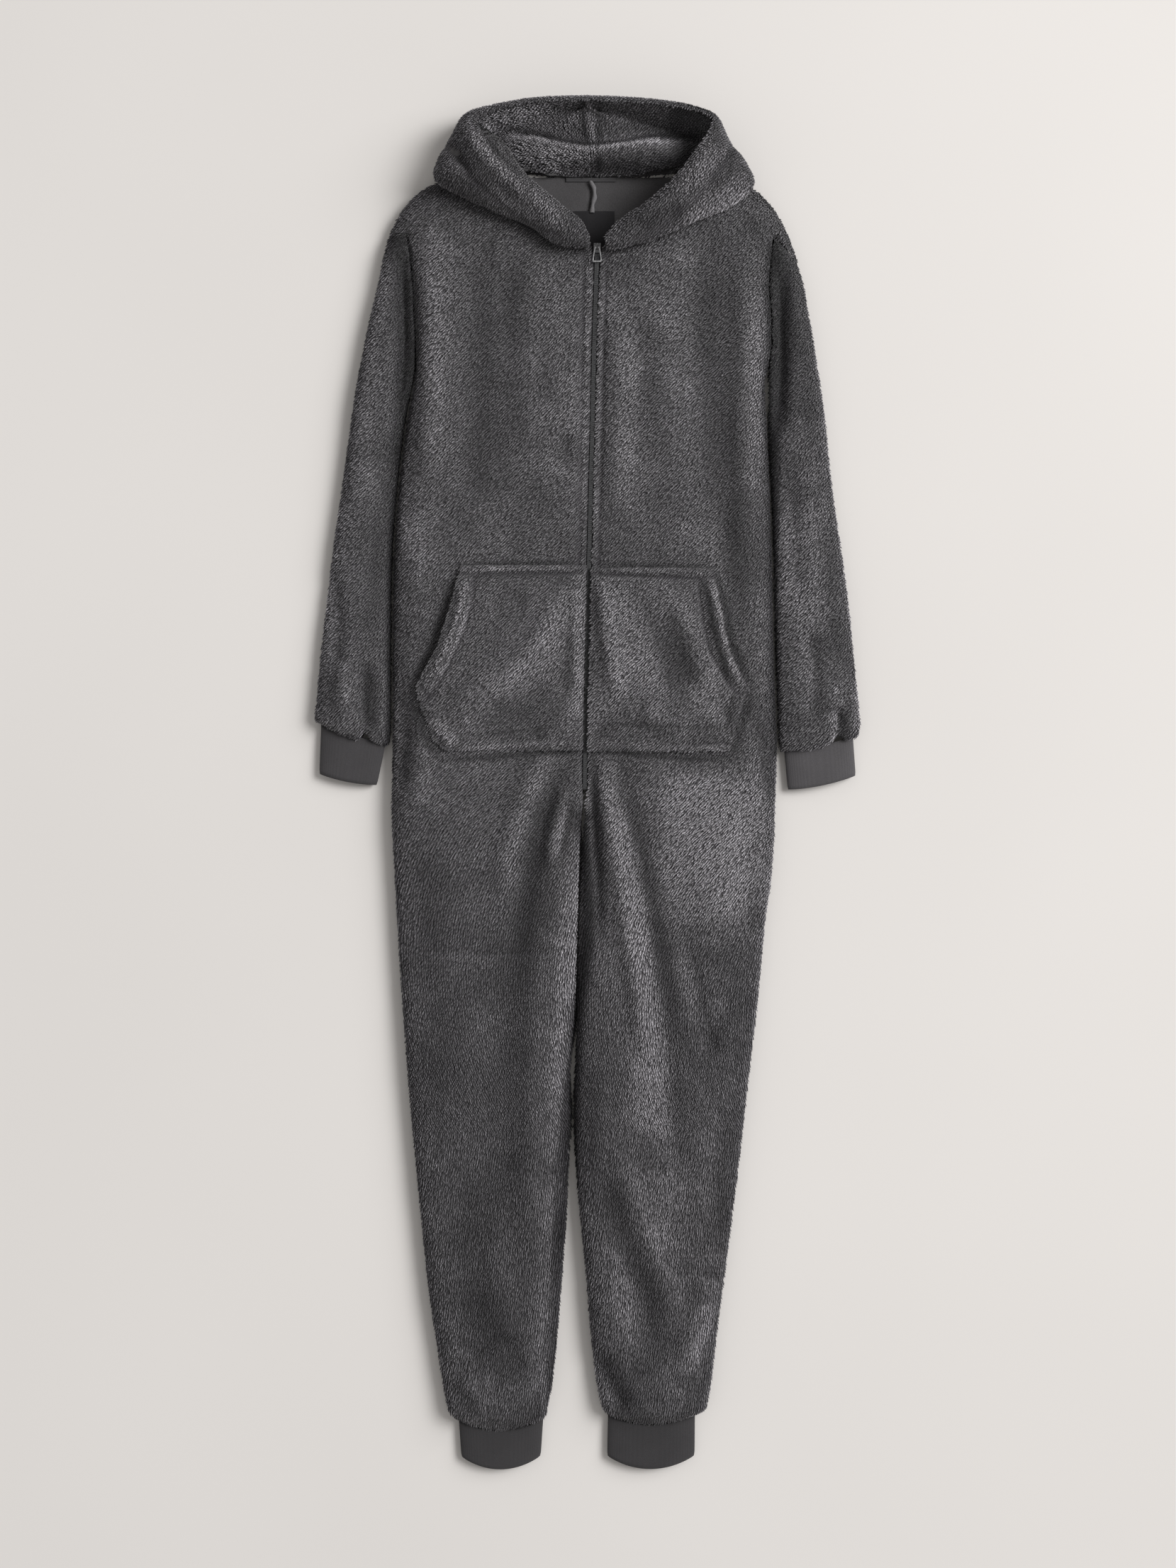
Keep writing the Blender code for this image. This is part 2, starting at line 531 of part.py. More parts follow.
def back_section(side, row):
    """Back panel section from the centre or inseam, along the ground, to the side."""
    body = body_columns(side)
    sign = SIDES[side][0]
    start, stop = seam_ends(side, body, row)
    inner_x, outer_x = body["inner_x"][row], body["outer_x"][row]
    turn = np.linspace(0.0, math.pi / 2.0, CORNER_FINE)
    up = SIDE_SEAM_Z * (1.0 - np.cos(turn))
    along = BACK_CORNER * np.sin(turn)
    runs = []
    if row <= CROTCH_ROW:
        middle = NAPE_X
        if row > NECK_ROWS:
            middle = sum(body_columns(each)["inner_x"][row] for each in SIDES) / len(SIDES)
        first = middle + sign * HALF_GAP
    else:
        first = inner_x + sign * BACK_CORNER
        if start != inner_x:
            runs.append((over_top(body, row, start, inner_x, STRIP_FINE)[:, ::2], ENDS))
        runs.append((np.column_stack([first - sign * along[::-1], up[::-1]]), HALVES))
    armhole = NOTCH_ROWS <= row < ARMHOLE_ROW
    last = outer_x if armhole else outer_x - sign * BACK_CORNER
    flat = len(runs)
    if not armhole:
        share = 1.0 - row / NOTCH_ROWS if row < NOTCH_ROWS else 1.0
        runs.append((np.column_stack([last + sign * along, up * share]), HALVES))
        if stop != outer_x:
            runs.append((over_top(body, row, outer_x, stop, STRIP_FINE)[:, ::2], ENDS))
    spare = len(BACK_FRACTIONS) - 1 - sum(len(fractions) - 1 for _, fractions in runs)
    runs.insert(flat, (np.array([(first, 0.0), (last, 0.0)]), FLAT_FRACTIONS[spare]))
    parts = [resample(np.asarray(line), fractions) for line, fractions in runs]
    line = np.concatenate([parts[0]] + [part[1:] for part in parts[1:]])
    x, z = line.T
    if row == 0:
        past_neck = np.abs(x - SHOULDER_CENTRE_X) - abs(inner_x - SHOULDER_CENTRE_X)
        z = np.maximum(z, SIDE_SEAM_Z * np.clip(1.0 + past_neck / NECK_RISE, 0.0, 1.0))
    return np.stack([x, section_y(body, row, x), z], axis=1)


def body_grid(side, section, fractions, over):
    """Rows of one panel, front or back, with the hem row laid round the ankle cuff's top."""
    rows = [section(side, row) for row in range(len(SIDES[side][1]))]
    if over:
        rows = [resample(row, fractions) for row in rows]
    hem = cuff_line(ANKLE_CUFFS[side], 0.0, side, over)
    rows.append(resample(hem, fractions) + (0.0, HEM_GAP, 0.0))
    return np.array(rows)


def plan_plane(a, b):
    """The upright plane through two points, as its normal."""
    run = np.asarray(b)[:2] - np.asarray(a)[:2]
    normal = np.array([-run[1], run[0], 0.0])
    return normal / np.linalg.norm(normal)


def side_planes(side, count):
    """Planes of the side border: shoulder seam, notch, armhole, side seam and strip."""
    body = body_columns(side)
    planes = np.tile(Z_PLANE, (count, 1))
    corner = [body[k][NOTCH_ROWS] for k in ("outer_x", "y", "drop")]
    tip = [body[k][0] for k in ("outer_x", "y", "drop")]
    tip, corner = (tip[0], tip[1] - tip[2]), (corner[0], corner[1] - corner[2])
    planes[:NOTCH_ROWS] = plan_plane(tip, corner)
    planes[NOTCH_ROWS:ARMHOLE_ROW] = X_PLANE
    away = planes[0] * -np.sign(planes[0, 1])
    planes[NOTCH_ROWS] = away + SIDES[side][0] * X_PLANE
    planes[NOTCH_ROWS] /= np.linalg.norm(planes[NOTCH_ROWS])
    if not STRIP_AT_INSEAM[side]:
        planes[:-1][body["strip"] > 0] = X_PLANE
    return planes


def centre_planes(side, count):
    """Planes of the inner border: zip or centre seam, then inseam and strip."""
    planes = np.tile(Z_PLANE, (count, 1))
    planes[:CROTCH_ROW + 1] = X_PLANE
    if STRIP_AT_INSEAM[side]:
        planes[:-1][body_columns(side)["strip"] > 0] = X_PLANE
    return planes


def part_along_seams(grid, side, lift):
    """Moves a panel's seam borders away from its neighbour by half of the seam gap."""
    count = len(grid)
    sign = SIDES[side][0]
    outer, inner = side_planes(side, count), centre_planes(side, count)
    grid[outer[:, 2] == 1.0, -1, 2] += lift
    grid[0, :-1, 2] += max(lift, 0.0)
    below = np.arange(count) > CROTCH_ROW
    grid[below & (inner[:, 2] == 1.0), 0, 2] += lift
    grid[below & (inner[:, 0] == 1.0), 0, 0] += sign * lift
    strip = (outer[:, 0] == 1.0) & below
    grid[strip, -1, 0] -= sign * lift
    return grid


def build_body(side):
    """Front and back panels of one side."""
    front = body_grid(side, front_section, FRONT_FRACTIONS, True)
    back = body_grid(side, back_section, BACK_FRACTIONS, False)
    front = part_along_seams(front, side, HALF_GAP)
    back = part_along_seams(back, side, -HALF_GAP)
    count = len(front)
    edge, centre = side_planes(side, count), centre_planes(side, count)
    hem = plan_plane(front[-1, 0], front[-1, -1])
    past_neck = back[0, :, 2:] > SIDE_SEAM_Z / 2.0
    shoulder = np.where(past_neck, Z_PLANE, Y_PLANE)
    add_panel("front_" + side, front, [("first_row", Z_PLANE), ("last_row", hem),
                                       ("first_column", centre), ("last_column", edge)])
    add_panel("back_" + side, back, [("first_row", shoulder), ("last_row", hem),
                                     ("first_column", centre), ("last_column", edge)])
    return front, back


def outward_sense(grid, wrap=False):
    """1 where the grid's normals point away from the hollow it bends round, else -1."""
    row = len(grid) // 2
    normals = grid_normals(grid, wrap)[row]
    middle = grid[row].mean(axis=0)
    return 1.0 if np.einsum("ij,ij->", normals, grid[row] - middle) > 0 else -1.0


def add_panel(name, grid, level, wall=FLEECE_WALL, finish="fleece", wrap=False):
    """A cloth wall that thickens into the hollow its outer face bends round."""
    inner = inner_face(grid, wall * outward_sense(grid, wrap), wrap, level)
    return add_wall(name, grid, finish, wrap=wrap, inner=inner)


def sleeve_section(outer, inner, low_z, high_z, loft, closed):
    """Sleeve section from its back edge, under, round the outer fold and over."""
    outer, inner = np.asarray(outer, dtype=float), np.asarray(inner, dtype=float)
    width = abs(outer[0] - inner[0])
    corner = min(SLEEVE_CORNER, width * 0.4)
    turn = np.linspace(0.0, math.pi / 2.0, 9)
    side = corner * (1.0 - np.sin(turn)) / width
    lift = SLEEVE_SEAM_Z * (1.0 - np.cos(turn))
    spread = min(SLEEVE_ROUND, width * 0.5)
    across = (1.0 - np.cos(np.linspace(0.0, math.pi, FINE))) / 2.0
    tuck = 0.0
    under = [(1.0, low_z)]
    if closed:
        under = list(zip(1.0 - side[::-1], lift[::-1]))
    else:
        height = min((high_z - SLEEVE_SEAM_Z) / (loft - SLEEVE_SEAM_Z), 1.0)
        tuck = 1.0 - math.sqrt(1.0 - height ** 2)
    over = rise(across * width / spread) * rise(tuck + (1.0 - across) * width / spread)
    over = SLEEVE_SEAM_Z + (loft - SLEEVE_SEAM_Z) * over
    line = np.array(under + list(zip(side, lift)) + list(zip(across, over)))
    plan = outer + (inner - outer) * line[:, :1]
    return np.column_stack([plan, line[:, 1]])


def build_sleeve(side, front, back):
    """One sleeve: it opens onto the body at the armhole and closes below it."""
    sign, _, table, cap = SIDES[side]
    part = np.array([sign * SEAM_GAP, -SEAM_GAP, 0.0])
    step = np.concatenate([back[NOTCH_ROWS::-1, -1], front[1:NOTCH_ROWS + 1, -1]])
    across = plan_plane(step[0], step[NOTCH_ROWS])
    across = across * -np.sign(across[1])
    clear = (1.0 - across[0] * sign) / across[1]
    rows = [step + np.array([sign, clear, 0.0]) * CAP_GAP]
    for k, fold in enumerate(cap[1:], start=1):
        edge = front[NOTCH_ROWS + k, -1] + part * (1.0, 0.0, 1.0)
        low = back[NOTCH_ROWS + k, -1, 2]
        loft = min(SLEEVE_LOFT, edge[2] + CAP_STEP * k)
        closed = NOTCH_ROWS + k >= ARMHOLE_ROW
        rows.append(sleeve_section(fold, edge[:2], low, edge[2], loft, closed))
    for entry in table:
        fold = dict(zip(SLEEVE_COLUMNS, entry))
        ends = (fold["outer_x"], fold["outer_y"]), (fold["inner_x"], fold["inner_y"])
        rows.append(sleeve_section(*ends, 0.0, 0.0, fold["loft"], True))
    grid = np.array([resample(row, SLEEVE_FRACTIONS) for row in rows]
                    + [wrist_ring(side, 0.0) + (0.0, SEAM_GAP, 0.0)])
    closed = np.arange(len(grid)) >= ARMHOLE_ROW - NOTCH_ROWS
    grid[closed, 0, 2] -= HALF_GAP
    grid[closed, -1, 2] += HALF_GAP
    seam = np.where(closed[:, None], Z_PLANE, X_PLANE)
    hem = plan_plane(WRIST_CUFFS[side][0], WRIST_CUFFS[side][1])
    level = [("first_row", across), ("last_row", hem),
             ("first_column", seam), ("last_column", seam)]
    add_panel("sleeve_" + side, grid, level)


def cuff_points(cuff, along, turns):
    """Points of a rib cuff's section, at turns round it from the fold at b."""
    shape = dict(zip(CUFF_COLUMNS, cuff))
    top_a, top_b, end_a, end_b = (np.array(shape[name]) for name in CUFF_COLUMNS[:4])
    a = top_a + (end_a - top_a) * along
    b = top_b + (end_b - top_b) * along
    flow = (end_a + end_b - top_a - top_b) / 2.0
    flow = flow / np.linalg.norm(flow)
    c, s = np.cos(turns), np.sin(turns)
    across = np.copysign(np.abs(c) ** 0.7, c)
    up = np.copysign(np.abs(s) ** 0.8, s)
    dip = shape["top_dip"] + (shape["end_dip"] - shape["top_dip"]) * along
    plan = (a + b) / 2.0 + np.outer(across, (b - a) / 2.0) + np.outer(1.0 - across ** 2, flow) * dip
    return np.column_stack([plan, CUFF_HEIGHT / 2.0 * (1.0 + up)])


def cuff_line(cuff, along, side, over):
    """Half of a cuff's section: over or under, from its inner fold to its outer one."""
    turns = np.linspace(0.0, math.pi, FINE)
    if side == "left":
        turns = turns[::-1]
    line = cuff_points(cuff, along, turns if over else -turns)
    return line if over else line


def wrist_ring(side, along):
    """A wrist cuff's section, from the sleeve's seam under and over back to it."""
    cuff = WRIST_CUFFS[side]
    line = np.concatenate([cuff_line(cuff, along, side, False),
                           cuff_line(cuff, along, side, True)[::-1]])
    return resample(line, SLEEVE_FRACTIONS)


def ankle_ring(side, along):
    """An ankle cuff's section, matched to the panels it is sewn to."""
    cuff = ANKLE_CUFFS[side]
    over = resample(cuff_line(cuff, along, side, True), FRONT_FRACTIONS)
    under = resample(cuff_line(cuff, along, side, False), BACK_FRACTIONS)
    return np.concatenate([over, under[::-1][1:]])


def build_cuff(name, side, ring, cuff):
    """A rib cuff, open at both ends."""
    grid = np.array([ring(side, k / CUFF_ROWS)[:-1] for k in range(CUFF_ROWS + 1)])
    seam, end = plan_plane(cuff[0], cuff[1]), plan_plane(cuff[2], cuff[3])
    add_panel(name, grid, [("first_row", seam), ("last_row", end)], RIB_WALL, "rib", wrap=True)


def hood_stations(side):
    """The hood table of one side as named arrays."""
    table = RIGHT_HOOD if side == "right" else LEFT_HOOD
    return {name: column(table, HOOD_COLUMNS, name) for name in HOOD_COLUMNS}


def hood_points(hood, k):
    """Rim, outline and end of one station, as plan points."""
    return [np.array([hood[p + "_x"][k], hood[p + "_y"][k]]) for p in ("rim", "outer", "end")]


def hood_section(hood, k):
    """Outer cloth of the hood at one station: rim, crest, outline, under and end."""
    rim, outer, end = hood_points(hood, k)
    rim_z, outer_z, under_z = (hood[n][k] for n in ("rim_z", "outer_z", "under_z"))
    width = np.linalg.norm(outer - rim)
    crest_z = rim_z + HOOD_CREST * min(1.0, width / HOOD_FULL_WIDTH) ** 2
    f = (1.0 - np.cos(np.linspace(0.0, math.pi, FINE))) / 2.0
    dip = (crest_z - rim_z) * (1.0 - np.clip(f / RIM_SHARE, 0.0, 1.0)) ** 2
    spread = max(width * HOOD_ROUND_SHARE, 1.0)
    z = outer_z + (crest_z - outer_z) * rise((1.0 - f) * width / spread) - dip
    over = np.column_stack([rim + (outer - rim) * f[:, None], z])
    back = np.linalg.norm(end - outer)
    corner = min(HOOD_CORNER, outer_z - under_z, back * 0.6)
    turn = np.linspace(0.0, math.pi / 2.0, 9)
    run = (end - outer) / back
    fold = np.column_stack([outer + run * (corner * (1.0 - np.cos(turn)))[:, None],
                            under_z + (outer_z - under_z) * (1.0 - np.sin(turn))])
    under = np.array([fold[-1], (*end, under_z)])
    return np.concatenate([resample(over, HOOD_OVER), resample(fold, HOOD_FOLD)[1:],
                           resample(under, HOOD_UNDER)[1:]])


def lining_grid(outer, tuck, level):
    """Fur face of the lining: the outer cloth moved in, drawn towards a straight span."""
    sense = outward_sense(outer)
    inside = inner_face(outer, (2.0 * FLEECE_WALL + LINING_GAP) * sense, False, level)
    seam = inner_face(outer, (2.0 * FLEECE_WALL + SEAM_GAP) * sense, False, level)
    across = np.linspace(0.0, 1.0, outer.shape[1])[None, :, None]
    inner = np.array([across > 0.0, across < 1.0]).all(axis=0) * 1.0
    inside = seam + (inside - seam) * inner
    span = inside[:, :1] + (inside[:, -1:] - inside[:, :1]) * across
    grid = span + (inside - span) * tuck[:, None, None]
    first = len(HOOD_OVER) + 1
    floor_y, floor_z = (column(LINING_FLOOR, LINING_COLUMNS, name) for name in LINING_COLUMNS)
    for j in range(first, outer.shape[1]):
        roll = np.interp(grid[:, j, 1], floor_y, floor_z)
        lift = (j - first + 1) / (outer.shape[1] - first)
        rows = np.arange(len(grid)) > NECK_STATION
        share = min(1.0, lift * LINING_RISE_SHARE)
        grid[rows, j, 2] += np.maximum(roll - grid[:, j, 2], 0.0)[rows] * share
    grid[NECK_STATION - 1:NECK_STATION + 1, first:, 1:] += NECK_SHIFT
    grid[NECK_STATION, first:-1, 2] += NECK_CLEAR
    grid[NECK_STATION, -1, 2] += NECK_CLEAR / 2.0
    return grid


def build_hood(side):
    """Outer cloth and fur lining of one half of the hood."""
    hood = hood_stations(side)
    count = len(hood["rim_x"])
    outer = np.array([hood_section(hood, k) for k in range(count)])
    station = np.arange(count)[:, None]
    neck = np.where(station == NAPE_STATION - 1, Y_PLANE, X_PLANE * 0.0)
    seam = np.where(station >= NAPE_STATION, X_PLANE, neck)
    level = [("last_column", seam), ("first_row", X_PLANE), ("last_row", X_PLANE)]
    lining = lining_grid(outer, hood["tuck"], level)
    add_panel("hood_" + side, outer, level)
    inner = inner_face(lining, -FLEECE_WALL * outward_sense(outer), False, level)
    add_wall("hood_lining_" + side, lining, "fleece", inner)


def height_along(row, x):
    """Height of one row of a panel at x."""
    order = np.argsort(row[:, 0])
    return np.interp(x, row[order, 0], row[order, 2])


def surface_at(grid, x, y):
    """Height of a panel's faceted front above a plan point."""
    heights = [height_along(row, x) for row in grid]
    levels = grid[:, 0, 1]
    return np.interp(-y, -levels, heights)


def build_pocket(side, front):
    """One half of the pocket: a wall on the front, open along its slanted edge."""
    sign = SIDES[side][0]
    table = RIGHT_POCKET if side == "right" else LEFT_POCKET
    ys, edges, gapes = (column(table, POCKET_COLUMNS, name) for name in POCKET_COLUMNS)
    rows = []
    for k, (y, edge, gape) in enumerate(zip(ys, edges, gapes)):
        start = zip_centre(y) + sign * POCKET_ZIP_GAP
        sewn = math.sin(math.pi * k / (len(ys) - 1))
        row = []
        for u in POCKET_FRACTIONS:
            x = start + (edge - start) * u
            puff = POCKET_PUFF * min(1.0, POCKET_BULGE * math.sin(math.pi * u) * sewn)
            loft = max(POCKET_LOFT * gape * u ** 2, puff)
            row.append((x, y, surface_at(front, x, y) + POCKET_LIFT + FLEECE_WALL + loft))
        rows.append(row)
    top = np.array(rows)
    add_wall("pocket_" + side, top, "fleece", top - (0.0, 0.0, FLEECE_WALL))


def zip_centre(y):
    """Middle of the zip at a height on the garment."""
    right, left = body_columns("right"), body_columns("left")
    return np.interp(-y, -right["y"], (right["inner_x"] + left["inner_x"]) / 2.0)


def build_zip(fronts):
    """Both tapes under the fronts' edges and the closed coil between them."""
    ys = np.linspace(ZIP_TOP_Y, ZIP_END_Y, ZIP_STATIONS)
    for side, front in fronts.items():
        sign = SIDES[side][0]
        rows = []
        for y in ys:
            xs = zip_centre(y) + sign * np.array([COIL_HALF_WIDTH + SEAM_GAP, TAPE_MIDDLE, TAPE_WIDTH])
            reach = [max(abs(x - zip_centre(y)), TAPE_UNDER) for x in xs]
            rows.append([(x, y, surface_at(front, zip_centre(y) + sign * r, y)
                          - FLEECE_WALL - SEAM_GAP) for x, r in zip(xs, reach)])
        top = np.array(rows)
        add_wall("zip_tape_" + side, top, "tape", top - (0.0, 0.0, TAPE_WALL))
    rows = []
    for y in ys:
        z = surface_at(fronts["left"], zip_centre(y) + TAPE_UNDER, y) - FLEECE_WALL + COIL_RISE
        rows.append([(zip_centre(y) + d, y, z) for d in (-COIL_HALF_WIDTH, COIL_HALF_WIDTH)])
    top = np.array(rows)
    add_wall("zip_coil", top, "coil", top - (0.0, 0.0, COIL_RISE + SEAM_GAP + TAPE_WALL))


def flat_piece(name, xs, ys, low, wall, finish, rise_by=0.0):
    """A thin piece lying level, with one column raised by rise_by."""
    top = np.array([[(x, y, low + wall + (rise_by if 0 < k < len(xs) - 1 else 0.0))
                     for k, x in enumerate(xs)] for y in ys])
    add_wall(name, top, finish, top - (0.0, 0.0, wall))


def build_neck():
    """What lies inside the back neck: binding, seam allowance and blank label."""
    low = FLEECE_WALL + SEAM_GAP
    flat_piece("neck_binding", np.linspace(*BAND_X, BAND_STATIONS), BAND_Y, low, BAND_WALL, "knit")
    ridge = ALLOWANCE_X - ALLOWANCE_HALF, ALLOWANCE_X, ALLOWANCE_X + ALLOWANCE_HALF
    flat_piece("back_seam_allowance", ridge, ALLOWANCE_Y, low, ALLOWANCE_WALL, "knit",
               ALLOWANCE_RISE)
    flat_piece("neck_label", (LABEL_X[0], LABEL_FOLD_X, LABEL_X[1]), LABEL_Y, low,
               LABEL_WALL, "label", LABEL_RISE)


def add_prism(name, outline, half, finish, origin):
    """A prism along X: an outline of (y, z) points about its origin, half wide each way."""
    count = len(outline)
    points = [(origin[0] + s * half, origin[1] + y, origin[2] + z)
              for s in (-1.0, 1.0) for y, z in outline]
    faces = [tuple(range(count)), tuple(range(2 * count - 1, count - 1, -1))]
    for k in range(count):
        n = (k + 1) % count
        faces.append((n, k, count + k, count + n))
    made = add_object(name, points, faces, finish, origin)
    made.data.polygons.foreach_set("use_smooth", [False] * len(faces))
    face_outwards(made)
    return made


def arc(radius, start, stop, count, centre=(0.0, 0.0)):
    """Points (y, z) of an arc, in degrees."""
    turns = np.radians(np.linspace(start, stop, count))
    return [(centre[0] + radius * math.cos(t), centre[1] + radius * math.sin(t)) for t in turns]


def build_slider():
    """Zip slider: a body that rides on the coil and a bridge that holds the pull."""
    place = (SLIDER_CENTRE_X, SLIDER_CENTRE_Y, BODY_LOFT + SLIDER_PROUD)
    half, foot = SLIDER_LENGTH / 2.0, SLIDER_DEPTH
    outline = [(-half, -foot), (half - NOSE, -foot), (half, NOSE - foot), (half, -SHOULDER),
               (half - SHOULDER, 0.0), (SHOULDER - half, 0.0), (-half, -SHOULDER)]
    body = add_prism("zip_slider", outline, SLIDER_HALF_WIDTH, "metal", place)
    bevel = body.modifiers.new("edges", "BEVEL")
    bevel.width = SLIDER_BEVEL * MM
    bevel.segments = 1
    wide = TUNNEL + BRIDGE_WALL
    inside = arc(TUNNEL, 180.0, 0.0, BRIDGE_POINTS, (0.0, BAR_LIFT))
    outside = arc(wide, 0.0, 180.0, BRIDGE_POINTS, (0.0, BAR_LIFT))
    outline = [(-TUNNEL, -BRIDGE_SINK)] + inside + [(TUNNEL, -BRIDGE_SINK)]
    outline += [(wide, -BRIDGE_SINK)] + outside + [(-wide, -BRIDGE_SINK)]
    bridge = add_prism("slider_bridge", outline, BRIDGE_HALF, "metal", place)
    bridge.hide_render = True
    bridge.display_type = "WIRE"
    join = body.modifiers.new("bridge", "BOOLEAN")
    join.operation = "UNION"
    join.solver = "EXACT"
    join.object = bridge


def both_sides(profile):
    """A closed outline from (reach, half width) pairs, down one side and up the other."""
    down = [(half, -reach) for reach, half in profile]
    return down + [(-x, y) for x, y in reversed(down)]


def build_pull():
    """Zip pull: a flat loop whose top bar turns in the slider's bridge."""
    origin = (SLIDER_CENTRE_X, SLIDER_CENTRE_Y, BODY_LOFT + SLIDER_PROUD + BAR_LIFT)
    rim, window = both_sides(PULL_OUTLINE), both_sides(PULL_WINDOW)
    count = len(rim)
    points = [(x, y, z) for z in (-PULL_WALL / 2.0, PULL_WALL / 2.0) for x, y in rim + window]
    layer = 2 * count
    faces = []
    for k in range(count):
        n = (k + 1) % count
        faces.append((k, n, count + n, count + k))
        faces.append((layer + n, layer + k, layer + count + k, layer + count + n))
        faces.append((n, k, layer + k, layer + n))
        faces.append((count + k, count + n, layer + count + n, layer + count + k))
    placed = [np.array(p) + origin for p in points]
    made = add_object("zip_pull", placed, faces, "metal", origin)
    made.data.polygons.foreach_set("use_smooth", [False] * len(faces))
    face_outwards(made)


if __name__ == "__main__":
    for old in list(bpy.data.objects):
        bpy.data.objects.remove(old)
    fronts = {}
    for side_name in SIDES:
        front_points, back_points = build_body(side_name)
        fronts[side_name] = front_points
        build_sleeve(side_name, front_points, back_points)
        build_cuff("wrist_cuff_" + side_name, side_name, wrist_ring, WRIST_CUFFS[side_name])
        build_cuff("ankle_cuff_" + side_name, side_name, ankle_ring, ANKLE_CUFFS[side_name])
        build_hood(side_name)
        build_pocket(side_name, front_points)
    build_zip(fronts)
    build_neck()
    build_slider()
    build_pull()
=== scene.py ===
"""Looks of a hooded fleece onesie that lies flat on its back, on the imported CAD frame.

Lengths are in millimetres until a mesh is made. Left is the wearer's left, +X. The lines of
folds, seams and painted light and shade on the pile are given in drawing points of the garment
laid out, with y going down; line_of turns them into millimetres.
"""
import math

import bpy
import numpy as np
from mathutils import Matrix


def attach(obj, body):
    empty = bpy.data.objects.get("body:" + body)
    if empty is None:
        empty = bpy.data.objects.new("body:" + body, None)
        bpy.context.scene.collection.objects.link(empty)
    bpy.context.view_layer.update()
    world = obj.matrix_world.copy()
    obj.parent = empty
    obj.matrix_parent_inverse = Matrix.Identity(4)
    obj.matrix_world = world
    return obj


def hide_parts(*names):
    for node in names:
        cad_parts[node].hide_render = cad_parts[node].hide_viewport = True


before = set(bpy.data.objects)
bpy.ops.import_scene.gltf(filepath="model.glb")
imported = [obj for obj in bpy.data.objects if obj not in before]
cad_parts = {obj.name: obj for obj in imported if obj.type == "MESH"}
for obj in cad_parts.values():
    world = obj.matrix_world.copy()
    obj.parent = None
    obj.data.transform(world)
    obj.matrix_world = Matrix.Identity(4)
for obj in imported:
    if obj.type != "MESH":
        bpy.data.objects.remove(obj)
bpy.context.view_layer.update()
MM = 0.001
ROOT_BODY = "garment"

# The drawing: millimetres to a point, its middle, and its size.
PX = 0.857
CENTRE_PX, CENTRE_PY = 829.0, 1106.5
DRAWING_WIDTH, DRAWING_HEIGHT = 1659.0, 2212.0

FLEECE_WALL = 3.0
SEAM_GAP = 0.3
HALF_GAP = SEAM_GAP / 2
HEM_GAP = SEAM_GAP * 1.5
CAP_GAP = SEAM_GAP * 1.8

# Body: height of the front, height of the side seam, and the roundings of the section.
BODY_LOFT = 32.0
SIDE_SEAM_Z = 13.0
BACK_CORNER = 15.0
SIDE_ROUND = 40.0
LEG_ROUND = 38.0
SHOULDER_ROUND = 46.0
SHOULDER_CENTRE_X = 3.4
NECK_RISE = 14.0
NOTCH_ROWS = 3
NECK_ROWS = 5
ARMHOLE_ROW = 10
CROTCH_ROW = 18

SLEEVE_LOFT = 27.0
SLEEVE_SEAM_Z = 11.0
SLEEVE_ROUND = 42.0
SLEEVE_CORNER = 12.0
CAP_STEP = 2.5
CUFF_HEIGHT = 15.0

HOOD_CREST = 9.0
HOOD_FULL_WIDTH = 45.0
HOOD_ROUND_SHARE = 0.75
HOOD_CORNER = 14.0
RIM_SHARE = 0.3
NECK_STATION = 7
LINING_SETBACK = 2.0 * FLEECE_WALL + SEAM_GAP
LINING_STEP = 12.0

POCKET_ZIP_GAP = 3.0
POCKET_PUFF = 6.0
POCKET_BULGE = 2.2
POCKET_LIFT = 0.9
POCKET_LOFT = 7.5

ZIP_END_Y = -6.0
SLIDER_CENTRE_Y = 646.6
SLIDER_HALF = 8.0
COIL_HALF_WIDTH = 2.4
COIL_PITCH = 2.6

# Points along each kind of section, and rows of the finer grids.
FINE = 48
CORNER_POINTS = 9
GRID_STEP = 7.0
SPACED = np.linspace(0.0, 1.0, 46)
SLEEVE_SPACED = np.linspace(0.0, 1.0, 52)
HOOD_OVER, HOOD_FOLD, HOOD_UNDER = (np.linspace(0.0, 1.0, n) for n in (24, 7, 16))
POCKET_ROWS, POCKET_COLUMNS = 50, 38
CUFF_ROWS = 12
CUFF_TURNS = {"wrist": 220, "ankle": 260}

# How the pile and the shell beneath it are laid on a piece.
BASE_INSET = 1.5
SHELL_WALL = 1.1
SHELL_FLOOR = 1.0
LOWEST = 0.05
CUFF_WALL = 1.3
WALE_POINTS = 4.0
LEAN, LEG_LEAN = 0.80, 0.14
LEG_START, LEG_TURN = 40.0, 380.0
LOCK_ROWS = 118.0
CALM_TONE = 0.36
HIDDEN_WEIGHT = 0.3
LIGHT_FROM = (0.95, 0.3)
QUICK_EVERY = 1.0

CAMERA_HEIGHT = 3.8
CLOTH_LEVEL = 0.02
WORLD_LIGHT = 0.42
WORLD_TINT = (1.0, 0.985, 0.97, 1.0)
LAMP_PLACE, LAMP_SIZE, LAMP_POWER = (3.3, 1.5, 2.5), 2.6, 80.0
SUN_ANGLES, SUN_WIDTH, SUN_POWER = (46.0, -70.0), 28.0, 1.9

SIGN = {"left": 1.0, "right": -1.0}

